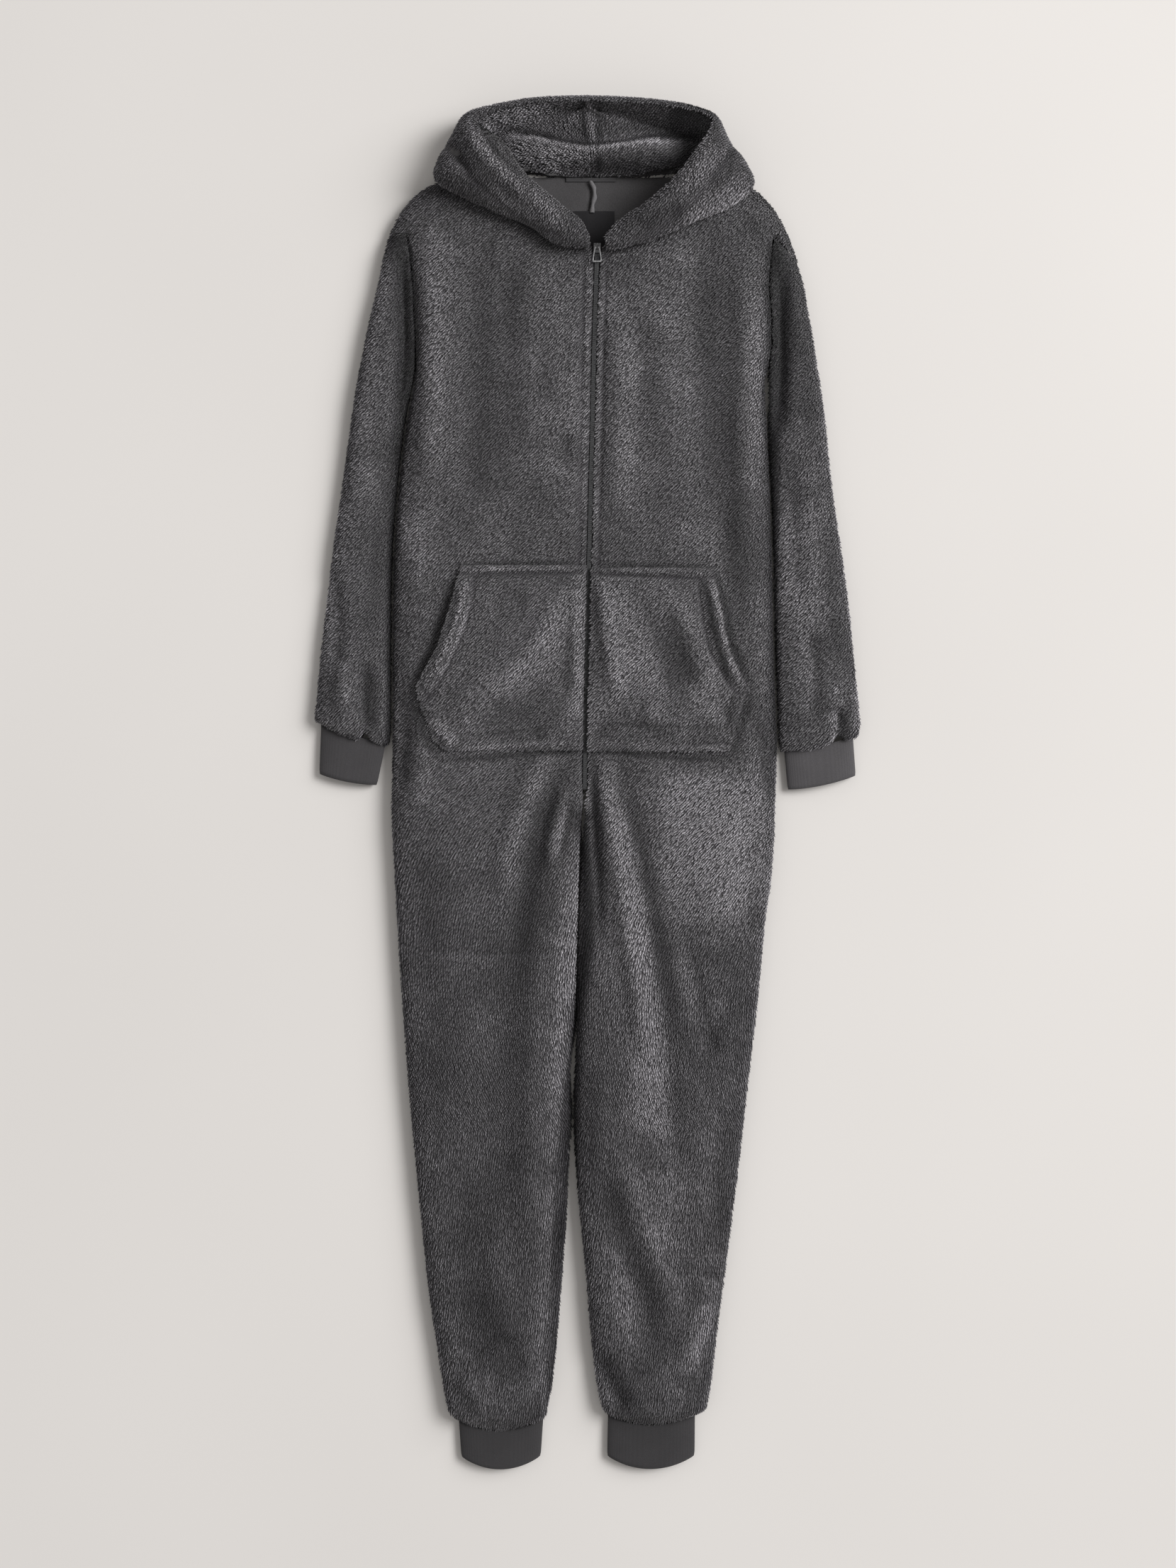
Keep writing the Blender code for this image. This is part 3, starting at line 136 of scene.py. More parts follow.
# Sections of the body from the shoulder to the ankle hem. y: height at the zip; drop: how
# far the outer end lies below that; bend: how late it bends down; inner_x, outer_x: its
# ends; tucks: how far up their rounding the panel's edges sit (1 is the crown, 0 the
# side); strip: how far in from the leg's edge the seam lies, where the back wraps over.
# A column that stops early goes on with its last value.
BODY_ROWS = 30
BODY_Y = (736.6, 731, 722, 706.6, 687.7, 668, 646.6, 606, 563, 522, 484, 434, 361, 262, 205, 151,
          97, 48, 14, -18, -45, -95, -166, -272, -395, -492, -594, -674, -731)
BODY_BOTH = {
    "bend": (8, 7.7, 7.4, 7, 6, 5, 4, 3, 2.5, 2),
    "inner_tuck": (1,) * 18 + (0.62, 0.28, 0.07, 0),
    "outer_tuck": (0, 0.08) + (0.1,) * 6 + (0.08, 0.04, 0),
}
BODY_SIDES = {
    "right": {
        "y": BODY_Y + (-760,),
        "drop": (71, 65, 55.5, 39.5, 39, 42, 45, 36, 26, 12, 3, 0),
        "inner_x": (-81, -79.5, -73, -61.7, -38.6, -14.6, 5, 6.4, 5, 3.8, 3, 2, 0, -2.3, -3.4,
                    -4.6, -5.7, -6.6, -7.2, -5.2, -7.6, -10.2, -12.2, -15.6, -24.2, -24.6, -30.6,
                    -37.4, -43.7, -49.4),
        "outer_x": (-240, -234, -227, -219.4, -216, -213, -210.8, -210, -208.3, -208.3, -210.8,
                    -219.4, -228, -234.8, -235.5, -235.7, -235.7, -236, -236.5, -237.4, -237,
                    -234.4, -230.5, -223.7, -214.2, -204.8, -194.5, -183.4, -174, -168),
        "strip": (0,) * 24 + (7, 15, 14, 11, 5, 0),
    },
    "left": {
        "y": BODY_Y + (-755,),
        "drop": (101, 87.2, 70, 45, 43, 44, 46, 36, 26, 12, 3, 0),
        "inner_x": (104, 102, 95.5, 82, 60, 39, 18, 14.6, 13, 11.8, 11, 10, 8, 5.7, 4.6, 3.4, 2.3,
                    1.4, 0.8, -1.6, -4.2, -7, -9.4, -12.6, -14, -10.4, -2, 4.6, 12, 18),
        "outer_x": (254, 245, 236, 225.5, 223, 221, 219.6, 222, 222.8, 220, 214.4, 216.8, 220,
                    223.5, 224.3, 225.5, 227.5, 229.5, 228.6, 227.5, 227, 224.6, 215.4, 205, 191,
                    179.5, 166.3, 155.6, 148.6, 144),
        "strip": (0,) * 24 + (2, 3.5, 4, 3.5, 2, 0),
    },
}

# Sections of a sleeve below the armhole (plan points of its outer and inner ends), their
# heights, and where its outer fold lies level with each armhole row of the body.
SLEEVES = {
    "right": ((-287.1, 434, -221.4, 434), (-297.4, 361, -230, 361), (-309, 280, -236.2, 280),
              (-316, 222, -237.4, 222), (-323.1, 160, -237.7, 160), (-328.4, 103, -238, 97),
              (-330.4, 80, -238.4, 58), (-328.4, 73.6, -240.6, 49.6)),
    "left": ((288.4, 434, 218.8, 434), (296.2, 361, 222, 361), (307.6, 280, 225.2, 280),
             (315, 222, 226.3, 222), (322.2, 160, 227.5, 160), (328.4, 97, 230, 97),
             (330.4, 66, 231.6, 49), (328, 58.6, 234.6, 40.6)),
}
SLEEVE_LOFTS = (27, 27, 27, 27, 27, 27, 26, 23)
CAPS = {
    "right": ((-245.6, 646), (-250.6, 622), (-257, 592), (-264.4, 560), (-272.6, 519),
              (-280, 481)),
    "left": ((258.4, 616), (262.4, 601), (267, 570), (273, 538), (277.4, 510), (282, 481)),
}

# Rib cuffs: plan points of the seam's two ends and of the open end's, and how far each one
# dips between.
CUFFS = {
    "wrist_cuff_left": ((238.2, 41.4), (322.0, 58.4), (242.5, -6.4), (325.4, 10.6), 3.0, 3.5),
    "ankle_cuff_left": ((24.4, -764.0), (130.4, -764.0), (23.4, -814.0), (130.0, -813.4), 12.0,
                        15.4),
    "wrist_cuff_right": ((-323.4, 72.4), (-244.4, 50.2), (-325.7, 12.6), (-255.2, -1.0), 2.0,
                         3.0),
    "ankle_cuff_right": ((-156.4, -771.0), (-53.6, -769.0), (-153.4, -815.0), (-56.6, -814.0),
                         13.0, 15.0),
}

# Hood stations from the bottom of the V round to the middle of the top edge: plan points of
# the open rim, of the fold seen as the hood's outline, and of the end of the layer beneath,
# where the cloth meets the neck seam or, past the nape, the hood's centre seam.
HOOD = {
    "right": (
        (4, 657, 1, 643, 3, 651),
        (-6, 675.7, -34.3, 648.3, -15.5, 667),
        (-30, 694.6, -67.7, 668, -39.5, 686.5),
        (-54, 713.5, -106.3, 686, -62.5, 705.5),
        (-72.8, 728.9, -149.1, 705.7, -82, 727),
        (-80, 737.5, -184, 728, -86, 740.5),
        (-83, 742, -186, 735.5, -84, 742.5),
        (-87, 748, -185, 743, -76, 743.5),
        (-94.3, 760, -180, 757, -30, 737),
        (-108, 774.5, -170.5, 772, 3, 737),
        (-122.6, 785.4, -162, 787.2, 3, 760),
        (-133.5, 795.7, -151.7, 804.3, 2, 778),
        (-92, 812, -100.3, 820.6, 0, 796),
        (-50, 818.6, -54.8, 827.4, -0.65, 808),
        (-0.65, 820, -0.65, 829.1, -0.65, 815),
    ),
    "left": (
        (20, 658, 23.6, 641.5, 21.6, 651),
        (37, 677, 71.1, 651.7, 46, 669),
        (58.3, 690, 99.4, 663.7, 67, 683),
        (88, 712, 129.4, 676.6, 92, 706),
        (104, 727, 177.4, 698, 106, 727),
        (112, 735, 201, 724, 110, 740.5),
        (115, 739, 199.5, 732.5, 106, 742.5),
        (119, 745, 196, 741, 98, 743.5),
        (127, 756, 188, 755, 50, 737),
        (136, 768, 176.5, 767, 3.3, 737),
        (145, 783, 168.5, 781, 3.3, 760),
        (150, 796, 159, 800, 2.3, 778),
        (106, 811.6, 112.3, 820.2, 0.3, 796),
        (50, 817.8, 52.3, 826.8, -0.35, 808),
        (-0.35, 820, -0.35, 829.1, -0.35, 815),
    ),
}
# Heights of the rim, the outline and the layer beneath, and how far the lining follows the
# outer cloth before it turns back.
HOOD_LEVELS = (
    (52, 42, 33.5, 0), (56, 42, 33.5, 0), (60, 42, 33.5, 0), (67, 42, 33.5, 0.1),
    (72, 40, 31, 0.3), (74, 34, 24, 0.6), (74, 30, 20, 0.8), (74, 22, 0, 0.9), (74, 20, 0, 1),
    (70, 20, 0, 1), (65, 20, 0, 0.8), (60, 20, 0, 0.5), (57, 22, 0, 0.2), (56, 22, 0, 0.1),
    (55, 22, 0, 0),
)

# Pocket halves: heights of their rows, the opening edge, and how far it gapes.
POCKETS = {
    "right": ((264, 254, 227, 195, 166, 142, 118, 99, 74, 54, 41),
              (-154, -154.6, -162, -171.4, -181, -194, -207.6, -202, -192.4, -186, -171)),
    "left": ((261, 251, 221, 190, 160, 138, 117, 95, 69, 52, 40),
             (151.5, 153, 158.5, 164, 171, 181, 193, 187, 178.5, 175, 171)),
}
POCKET_GAPE = (0, 0.3, 0.7, 1, 1, 0.8, 0.25, 0)

# Strokes: half width in mm, amount, then the points of a line.
# Folds: the amount is the height in mm, and below 0 it is a trough.
FOLDS = (
    # fan of folds at the crotch
    (17, -5, 800, 1056, 772, 1108, 748, 1190, 736, 1280, 732, 1350),
    (14, 4.5, 770, 1062, 742, 1115, 716, 1190, 700, 1260),
    (7, 4, 800, 1110, 786, 1146, 778, 1184, 774, 1230),
    (6, -3.5, 806, 1130, 797, 1170, 790, 1215),
    (14, 6, 845, 1062, 856, 1130, 880, 1260, 900, 1400, 912, 1500),
    (17, -4, 866, 1062, 888, 1160, 912, 1290, 936, 1420, 944, 1560, 962, 1700),
    (8, -5, 832, 1060, 836, 1140, 842, 1230, 846, 1330),
    (26, 2.6, 905, 1070, 935, 1120, 960, 1200),
    # legs
    (30, 4, 1000, 1100, 1010, 1220, 1004, 1320),
    (14, -3, 1060, 1110, 1052, 1220, 1048, 1330),
    (12, -3.2, 968, 1324, 982, 1400, 1006, 1500),
    (12, -2.2, 1030, 1400, 1012, 1450, 996, 1490),
    (6, -2.4, 936, 1322, 1000, 1318, 1084, 1306),
    (6, -1.6, 862, 1314, 905, 1308, 940, 1312),
    (6, -1.8, 566, 1338, 640, 1342, 720, 1346, 806, 1342),
    (15, -3, 840, 1644, 870, 1730, 900, 1820, 930, 1894),
    (16, 4, 866, 1620, 900, 1710, 935, 1800, 958, 1870),
    (14, -4, 835, 1903, 850, 1930, 868, 1962, 882, 1990),
    (14, 4, 996, 1800, 985, 1860, 965, 1920),
    (14, -3, 1020, 1560, 1008, 1650, 1000, 1740),
    (30, 2.6, 630, 1160, 640, 1300, 650, 1450, 660, 1600),
    (16, -1.2, 590, 1180, 600, 1330, 612, 1480),
    (22, -2.6, 700, 1380, 706, 1520, 712, 1660),
    (16, 3, 756, 1300, 752, 1460, 748, 1620, 742, 1780),
    (20, -2, 640, 1640, 652, 1760, 664, 1880),
    (18, 2.8, 700, 1700, 704, 1800, 716, 1900),
    (10, -3, 640, 1890, 672, 1906, 700, 1886, 730, 1900),
    (9, -3, 690, 1956, 712, 1930, 742, 1916),
    (10, 2.8, 650, 1940, 668, 1962, 680, 1992),
    (14, 2.6, 880, 1975, 920, 1955, 965, 1968),
    # torso
    (15, 4, 604, 350, 608, 460, 606, 560, 600, 680),
    (22, -3.6, 664, 340, 672, 460, 668, 580, 656, 700),
    (20, 2.8, 744, 350, 752, 450, 742, 540, 748, 640),
    (14, -1.4, 716, 380, 712, 470, 724, 540),
    (12, -3.6, 792, 610, 797, 640, 792, 668),
    (13, 2.6, 782, 400, 780, 500, 784, 590),
    (20, 2.6, 560, 720, 580, 780, 590, 850),
    (18, -2, 640, 690, 700, 700, 770, 694),
    (18, 4, 866, 430, 874, 540, 868, 640, 872, 740),
    (14, -1.2, 900, 470, 912, 520, 905, 580),
    (20, 3, 925, 420, 934, 540, 946, 660),
    (22, -3.6, 976, 330, 986, 470, 992, 600, 1002, 740),
    (15, 4.6, 1046, 350, 1050, 470, 1046, 620, 1056, 790),
    (15, -2, 1010, 700, 1020, 790, 1044, 880),
    (13, -1.8, 960, 740, 1000, 756, 1040, 750),
    (16, -2.6, 606, 330, 640, 345, 700, 360),
    (16, -2.6, 1070, 320, 1020, 345, 960, 372),
    (14, 3.2, 598, 1005, 590, 1060, 584, 1140),
    (12, -3.6, 1060, 1000, 1072, 1060, 1080, 1140),
    (12, -2.6, 560, 960, 572, 1040, 566, 1120),
)
POCKET_FOLDS = (
    (8, 5, 658, 812, 646, 880, 616, 945, 597, 972),
    (7, 2.4, 602, 985, 616, 1030, 640, 1052),
    (15, 5, 640, 985, 700, 950, 752, 912, 806, 830),
    (16, -3.4, 660, 1020, 730, 1004, 786, 962, 814, 900),
    (13, -3, 690, 860, 716, 846, 745, 856),
    (12, 3.4, 760, 1040, 790, 1020, 812, 990),
    (8, 3, 812, 810, 812, 900, 810, 1000),
    (10, 4, 846, 812, 856, 890, 868, 980),
    (17, -2.6, 880, 820, 906, 870, 932, 930, 952, 1000),
    (13, 4.4, 950, 850, 975, 910, 1000, 975),
    (7, 5, 1002, 815, 1014, 880, 1032, 945, 1046, 970),
    (5, 2.4, 652, 806, 735, 804, 818, 802),
    (5, 2.4, 840, 803, 920, 805, 1004, 808),
    (4, 2.4, 630, 1058, 700, 1056, 798, 1047),
    (4, 2.4, 842, 1050, 920, 1052, 1026, 1056),
    (12, 3, 905, 1000, 935, 1025, 970, 1034),
    (8, -2.6, 1010, 1000, 1026, 1010, 1034, 1040),
)
SLEEVE_FOLDS = (
    (12, -8, 568, 352, 572, 440, 573, 500, 562, 610),
    (8, -4, 516, 930, 515, 980, 516, 1036),
    (11, 3.4, 482, 930, 484, 980, 488, 1030),
    (8, 3, 538, 940, 540, 990, 536, 1040),
    (13, 3, 530, 400, 518, 500, 505, 610, 496, 720),
    (12, -2.6, 545, 640, 530, 760, 520, 860),
    (10, -2.6, 470, 800, 478, 880, 472, 950),
    (7, -6, 1183, 1000, 1183, 1025, 1183, 1052),
    (12, -8, 1103, 370, 1100, 450, 1100, 520, 1096, 620),
    (12, 3, 1136, 430, 1148, 540, 1158, 650),
    (12, -2.6, 1110, 640, 1120, 760, 1126, 860),
    (12, 3.4, 1176, 720, 1186, 830, 1194, 930),
    (10, -3, 1140, 880, 1150, 950, 1146, 1020),
    (8, 3.4, 1200, 960, 1204, 1000, 1200, 1035),
)
HOOD_FOLDS = (
    (7, -3.5, 1031, 213, 1015, 240, 990, 270),
    (7, -3.5, 633, 208, 648, 235, 668, 258),
    (9, 3, 662, 190, 676, 225, 700, 250, 740, 285),
    (10, -2.6, 700, 270, 730, 296, 770, 318),
    (9, 3.4, 1000, 210, 975, 250, 930, 296, 880, 330),
    (8, 3.4, 1046, 250, 1005, 285, 950, 312),
    (7, -2.4, 960, 300, 925, 320, 890, 334),
)
# Painted light and shade strokes: the amount is how much lighter the pile is painted, and below
# 0 it is painted darker.
# Painted shade along the pocket's seams, and painted light over the ankle cuffs and along both
# edges of the zip.
SEAM_LIGHT_AND_SHADE = (
    (3.4, -0.6, 646, 797, 700, 795, 820, 794),
    (3.4, -0.6, 838, 795, 900, 797, 1006, 801),
    (5, -0.6, 643, 806, 632, 842, 621, 879, 610, 912, 595, 940, 579, 966),
    (4.5, -0.6, 579, 974, 586, 996, 596, 1020, 606, 1050, 624, 1068),
    (5, -0.6, 1010, 806, 1023, 848, 1033, 904, 1049, 945, 1064, 970),
    (4.5, -0.6, 1062, 974, 1055, 998, 1046, 1030, 1036, 1064),
    (3.6, -0.6, 626, 1071, 668, 1069, 740, 1064, 798, 1060, 826, 1060),
    (3.6, -0.6, 838, 1060, 889, 1062, 976, 1070, 1036, 1066),
    (4, 0.6, 640, 2012, 680, 2024, 740, 2022, 768, 2006),
    (4, 0.6, 850, 1994, 880, 2012, 930, 2018, 990, 1996),
    (3.6, 0.4, 831, 376, 829, 430, 826, 600, 822, 786),
    (3.6, 0.5, 853, 376, 851, 430, 847, 600, 841, 786),
)
# Painted light and shade over the body's folds and edges.
BODY_LIGHT_AND_SHADE = SEAM_LIGHT_AND_SHADE + (
    # torso, wearer's right half
    (20, 0.19, 606, 330, 610, 460, 616, 560, 604, 690),
    (34, -0.14, 690, 330, 694, 420, 680, 560, 676, 680),
    (12, -0.04, 655, 350, 660, 470, 650, 560),
    (20, 0.09, 766, 330, 774, 460, 770, 560, 776, 700),
    (7, 0.24, 813, 380, 812, 520, 808, 700, 806, 780),
    (12, -0.24, 780, 620, 800, 646),
    (26, 0.14, 596, 720, 612, 770, 600, 840),
    (20, -0.07, 640, 700, 700, 690, 760, 700),
    (14, -0.13, 575, 860, 572, 940, 566, 1010),
    # torso, wearer's left half
    (24, 0.14, 868, 440, 876, 540, 880, 640, 866, 740),
    (26, -0.14, 1012, 350, 1004, 480, 1010, 600, 1020, 700),
    (12, 0.4, 1074, 420, 1070, 500, 1066, 580, 1068, 690),
    (20, 0.04, 930, 420, 940, 520, 944, 640),
    (22, 0.1, 915, 740, 960, 752, 1000, 748),
    (16, -0.19, 1044, 690, 1046, 770, 1052, 850),
    (10, 0.22, 1072, 820, 1076, 930, 1074, 1020),
    (9, 0.12, 850, 480, 858, 440, 872, 400),
    (8, 0.1, 886, 560, 900, 520, 926, 480),
    (8, 0.12, 866, 660, 884, 620, 902, 600),
    (75, 0.12, 950, 340, 955, 520, 950, 720),
    (75, 0.6, 1000, 1080, 1010, 1200, 990, 1330),
    (65, 0.32, 950, 1450, 945, 1640, 935, 1880),
    # legs, wearer's right
    (20, 0.34, 802, 1052, 764, 1090, 724, 1140, 684, 1230),
    (19, -0.34, 796, 1080, 764, 1141, 750, 1205, 736, 1294, 730, 1400),
    (16, -0.16, 752, 1290, 740, 1342, 736, 1400),
    (12, 0.85, 811, 1165, 801, 1300, 797, 1400, 788, 1503, 778, 1640),
    (11, 0.42, 778, 1640, 770, 1760, 762, 1900, 756, 1980),
    (34, -0.06, 660, 1100, 640, 1240, 640, 1400),
    (30, -0.12, 700, 1460, 700, 1640, 706, 1740),
    (26, -0.3, 660, 1793, 690, 1860, 735, 1946),
    (16, -0.2, 716, 1620, 728, 1650),
    (16, -0.12, 600, 1300, 612, 1500, 630, 1700),
    # legs, wearer's left
    (26, 0.62, 845, 1070, 872, 1221, 896, 1358, 916, 1500, 914, 1610),
    (11, -0.4, 868, 1084, 914, 1221, 940, 1374, 968, 1471),
    (44, 0.5, 960, 1090, 990, 1180, 1010, 1290),
    (22, 0.4, 1050, 1090, 1062, 1200, 1050, 1290),
    (34, 0.26, 960, 1330, 990, 1410, 1020, 1440),
    (30, -0.16, 985, 1440, 1000, 1540, 985, 1640),
    (12, 0.16, 1036, 1480, 1022, 1600, 1012, 1700),
    (15, -0.26, 842, 1664, 870, 1740, 899, 1800, 939, 1906),
    (10, -0.36, 838, 1500, 836, 1600, 834, 1700),
    (17, 0.34, 862, 1750, 880, 1850, 896, 1930),
    (15, 0.5, 994, 1830, 984, 1890, 966, 1940),
    (20, 0.1, 935, 1680, 955, 1790, 965, 1880),
    (12, -0.26, 866, 1900, 876, 1960, 886, 1990),
)
# Painted light and shade over the pocket.
POCKET_LIGHT_AND_SHADE = SEAM_LIGHT_AND_SHADE + (
    (4, 0.3, 652, 805, 700, 803, 818, 801),
    (4, 0.2, 840, 802, 900, 804, 1004, 808),
    (2.4, -0.75, 670, 812, 662, 842, 650, 879, 638, 912, 624, 940, 606, 966),
    (2.2, -0.4, 604, 972, 612, 1000, 622, 1030, 634, 1048),
    (2.4, -0.75, 992, 812, 1001, 848, 1010, 904, 1025, 945, 1038, 966),
    (2.2, -0.5, 1036, 974, 1030, 1000, 1022, 1040),
    (2.2, -0.45, 650, 814, 735, 812, 820, 810),
    (2.2, -0.45, 840, 811, 920, 813, 990, 816),
    (4, 0.45, 632, 1059, 668, 1056, 740, 1051, 798, 1046),
    (4, 0.45, 842, 1050, 889, 1051, 976, 1058, 1026, 1056),
    (2.6, -0.45, 842, 1018, 889, 1021, 976, 1025, 1020, 1026),
    (2.6, -0.3, 650, 1036, 700, 1034, 760, 1028, 812, 1020),
    (110, 0.08, 740, 810, 740, 930, 740, 1040),
    (110, 0.2, 930, 810, 930, 930, 930, 1040),
    (8, 0.6, 660, 812, 648, 880, 618, 940, 598, 968),
    (12, 0.5, 612, 1010, 624, 1036, 650, 1050),
    (20, 0.42, 640, 1000, 700, 968, 752, 930, 806, 830),
    (10, 0.42, 812, 812, 814, 900, 812, 1010),
    (18, -0.26, 670, 1020, 730, 1010, 786, 980),
    (16, -0.22, 684, 850, 712, 870, 742, 860),
    (15, 0.44, 850, 812, 862, 890, 874, 980),
    (14, 0.2, 890, 900, 880, 960, 870, 1000),
    (22, -0.3, 930, 890, 950, 930, 972, 960),
    (18, 0.34, 980, 960, 1000, 985, 1016, 1000),
    (6, 0.4, 1002, 815, 1016, 880, 1032, 940, 1044, 968),
    (10, -0.3, 850, 1020, 860, 1040),
)
# Painted light and shade over the sleeves.
SLEEVE_LIGHT_AND_SHADE = SEAM_LIGHT_AND_SHADE + (
    (20, 0.12, 500, 480, 490, 600, 478, 720, 470, 860),
    (14, -0.24, 530, 700, 524, 800, 524, 920),
    (12, 0.34, 490, 960, 480, 1000, 478, 1030),
    (10, -0.4, 516, 930, 514, 1030),
    (60, 0.12, 1150, 560, 1160, 800, 1170, 1040),
    (26, -0.12, 1126, 380, 1134, 500, 1138, 640),
    (26, 0.44, 1134, 700, 1146, 790, 1152, 900),
    (14, 0.6, 1186, 960, 1192, 1000, 1190, 1030),
    (16, -0.1, 1130, 960, 1136, 1010, 1132, 1050),
)
# Painted light and shade over the outside of the hood.
HOOD_LIGHT_AND_SHADE = (
    (3.6, -0.65, 674, 180, 688, 204, 702, 226, 722, 248, 742, 262),
    (6.5, 0.35, 662, 182, 678, 212, 692, 234, 716, 260, 744, 284, 790, 318),
    (13, 0.6, 960, 314, 1010, 292, 1056, 268),
    (14, 0.26, 690, 230, 740, 276, 800, 318),
    (12, -0.26, 640, 220, 660, 250, 700, 280),
    (12, 0.24, 1010, 210, 1000, 250, 960, 280),
    (10, -0.2, 890, 330, 930, 312, 960, 300),
)
# Painted light and shade inside the hood: shade along the crease above the roll and in the right
# corner, light on the roll and the centre seam's ridge.
LINING_LIGHT_AND_SHADE = (
    (4.5, -0.75, 700, 176, 719, 181, 741, 188, 775, 197, 801, 204, 842, 207, 881, 203, 918, 195,
     950, 191, 975, 191, 1000, 194),
    (13, -0.25, 712, 166, 775, 184, 842, 194, 918, 182, 980, 180),
    (10, 0.4, 719, 196, 775, 212, 842, 222, 918, 208, 975, 205),
    (10, 0.2, 720, 160, 760, 158, 800, 160),
    (18, -0.55, 940, 158, 975, 170, 1000, 186),
    (24, -0.6, 980, 205, 950, 235, 915, 262),
    (4, 0.45, 832, 146, 833, 180, 837, 206),
    (3.5, -0.6, 822, 146, 824, 180, 829, 204),
    (3.5, -0.35, 845, 150, 846, 206),
    (3, -0.6, 843, 209, 845, 246),
    (4, -0.3, 788, 206, 798, 246),
    (4, -0.3, 752, 200, 768, 244),
    (4, -0.35, 906, 205, 892, 246),
    (4, -0.65, 690, 188, 708, 216, 722, 240, 740, 258, 766, 278),
    (6, 0.35, 678, 180, 697, 212, 712, 236, 736, 260),
    (6, -0.25, 770, 236, 850, 232, 930, 240),
)
# Sewn lines pressed into the pile: the amount is the depth in mm.
GROOVES = (
    (3.2, 1.6, 825, 352, 824, 430, 822, 600, 818, 800, 816, 960, 816, 1040),
    (3.2, 1.6, 857, 352, 855, 430, 850, 600, 845, 800, 841, 960, 840, 1040),
    (3.4, 2, 633, 212, 649, 238, 668, 262, 693, 283, 716, 301, 746, 321, 790, 340),
    (3.4, 2, 1025, 236, 1014, 251, 996, 272, 975, 294, 955, 309, 933, 327, 895, 345),
    (3, 1.2, 588, 400, 588, 430, 590, 460, 590, 490, 588, 520),
)
POCKET_GROOVES = (
    (2.6, 1.5, 650, 810, 735, 809, 820, 808),
    (2.6, 1.5, 838, 809, 940, 815, 1006, 815),
    (3, 1.8, 673, 816, 666, 851, 658, 886, 645, 920, 629, 951, 612, 979, 599, 990),
    (2.6, 1.5, 614, 1031, 627, 1053, 658, 1056, 744, 1054, 777, 1046, 809, 1038),
    (3, 1.8, 986, 817, 991, 873, 1001, 919, 1027, 965, 1042, 978),
    (2.6, 1.5, 1022, 1047, 940, 1052, 853, 1050),
)
GAP_BETWEEN_LEGS = (824, 1150, 834, 1290, 823, 1382, 812, 1450, 809, 1520, 807, 1600, 806, 1665)
WRAPPED_INSEAM = (808, 1600, 794, 1708, 788, 1800, 784, 1893, 779, 1992)
# The edge of the body over each sleeve, from the armhole's notch down.
ARMHOLES = ((574, 335, 581, 381, 583, 440, 586, 501, 580, 566, 569, 634, 558, 746, 554, 850, 553,
             1037, 552, 1100),
            (1089, 345, 1085, 407, 1088, 499, 1079, 545, 1084, 637, 1087, 700, 1091, 904, 1095,
             1060))
# Across the inside of the hood: the neck seam and the crest of the roll behind it.
NECK_LINE = (700, 232, 751, 245, 780, 242, 836, 240, 863, 241, 887, 246, 950, 252, 990, 238)
ROLL_CREST = (690, 150, 719, 183, 741, 190, 775, 199, 801, 206, 842, 209, 881, 205, 918, 197, 950,
              193, 973, 192, 1000, 196, 1020, 180)
# Heights from the neck seam (0) over the crest (1) and on: share of the way, height.
ROLL_PROFILE = ((-0.2, 7.6), (0.0, 9.0), (0.12, 20.0), (0.3, 31.0), (0.55, 39.0), (0.8, 43.0),
                (0.95, 42.0), (1.03, 36.0), (1.12, 22.0), (1.25, 19.0), (1.5, 23.0),
                (2.0, 26.0), (2.4, 29.0), (2.9, 34.0))
# How far the sleeve's hem blouses over its cuff: place across and drop, in drawing points.
HEM_LINE = 1040.0
HEM_LOBES = {
    "right": ((446, -4), (452, -9), (460, 2), (480, 7), (505, 6), (515, -10), (525, 2), (540, 4),
              (553, 0)),
    "left": ((1098, 0), (1115, 2), (1140, 5), (1168, 4), (1183, -9), (1196, 4), (1210, 2),
             (1216, -4)),
}
# The folded seam allowance at the back neck.
SEAM_RIDGE = (833, 252, 838, 262, 839, 275, 836, 286, 835, 297)

# One tuft, a ridge that rises towards its tip: share along, share across, height, tone (painted
# shade at the root, painted light at the tip).
TUFT = np.array(((-0.45, 0.00, 0.05, 0.16), (0.05, 0.50, -0.15, 0.03),
                 (0.05, -0.50, -0.15, 0.03), (0.55, 0.00, 1.00, 0.62)))
TUFT_FACES = np.array(((0, 3, 1), (0, 2, 3)))
# The faces of one turn of the coil, a small roof.
COIL_TURN_FACES = ((0, 3, 5, 2), (1, 2, 5, 4), (0, 1, 4, 3), (0, 2, 1), (3, 4, 5))


def filled(values, count):
    """A column as an array that goes on with its last value."""
    return np.array(tuple(values) + (values[-1],) * (count - len(values)), dtype=float)


BODY = {side: {name: filled(values, BODY_ROWS) for name, values in {**BODY_BOTH, **own}.items()}
        for side, own in BODY_SIDES.items()}


# ---------------------------------------------------------------- lines and grids
def plan(px, py):
    """Plan point in mm of a drawing point."""
    return (px - CENTRE_PX) * PX, (CENTRE_PY - py) * PX


def line_of(*flat):
    """A line on the garment from its drawing points."""
    return np.stack(plan(*np.reshape(flat, (-1, 2)).T), axis=1)


def rise(t):
    """Quarter-round: 0 at the edge, 1 at the crown and beyond it."""
    t = np.clip(t, 0.0, 1.0)
    return np.sqrt(1.0 - (1.0 - t) ** 2)


def crowded(count):
    """Shares from 0 to 1 that lie closer near both ends."""
    return (1.0 - np.cos(np.linspace(0.0, math.pi, count))) / 2.0


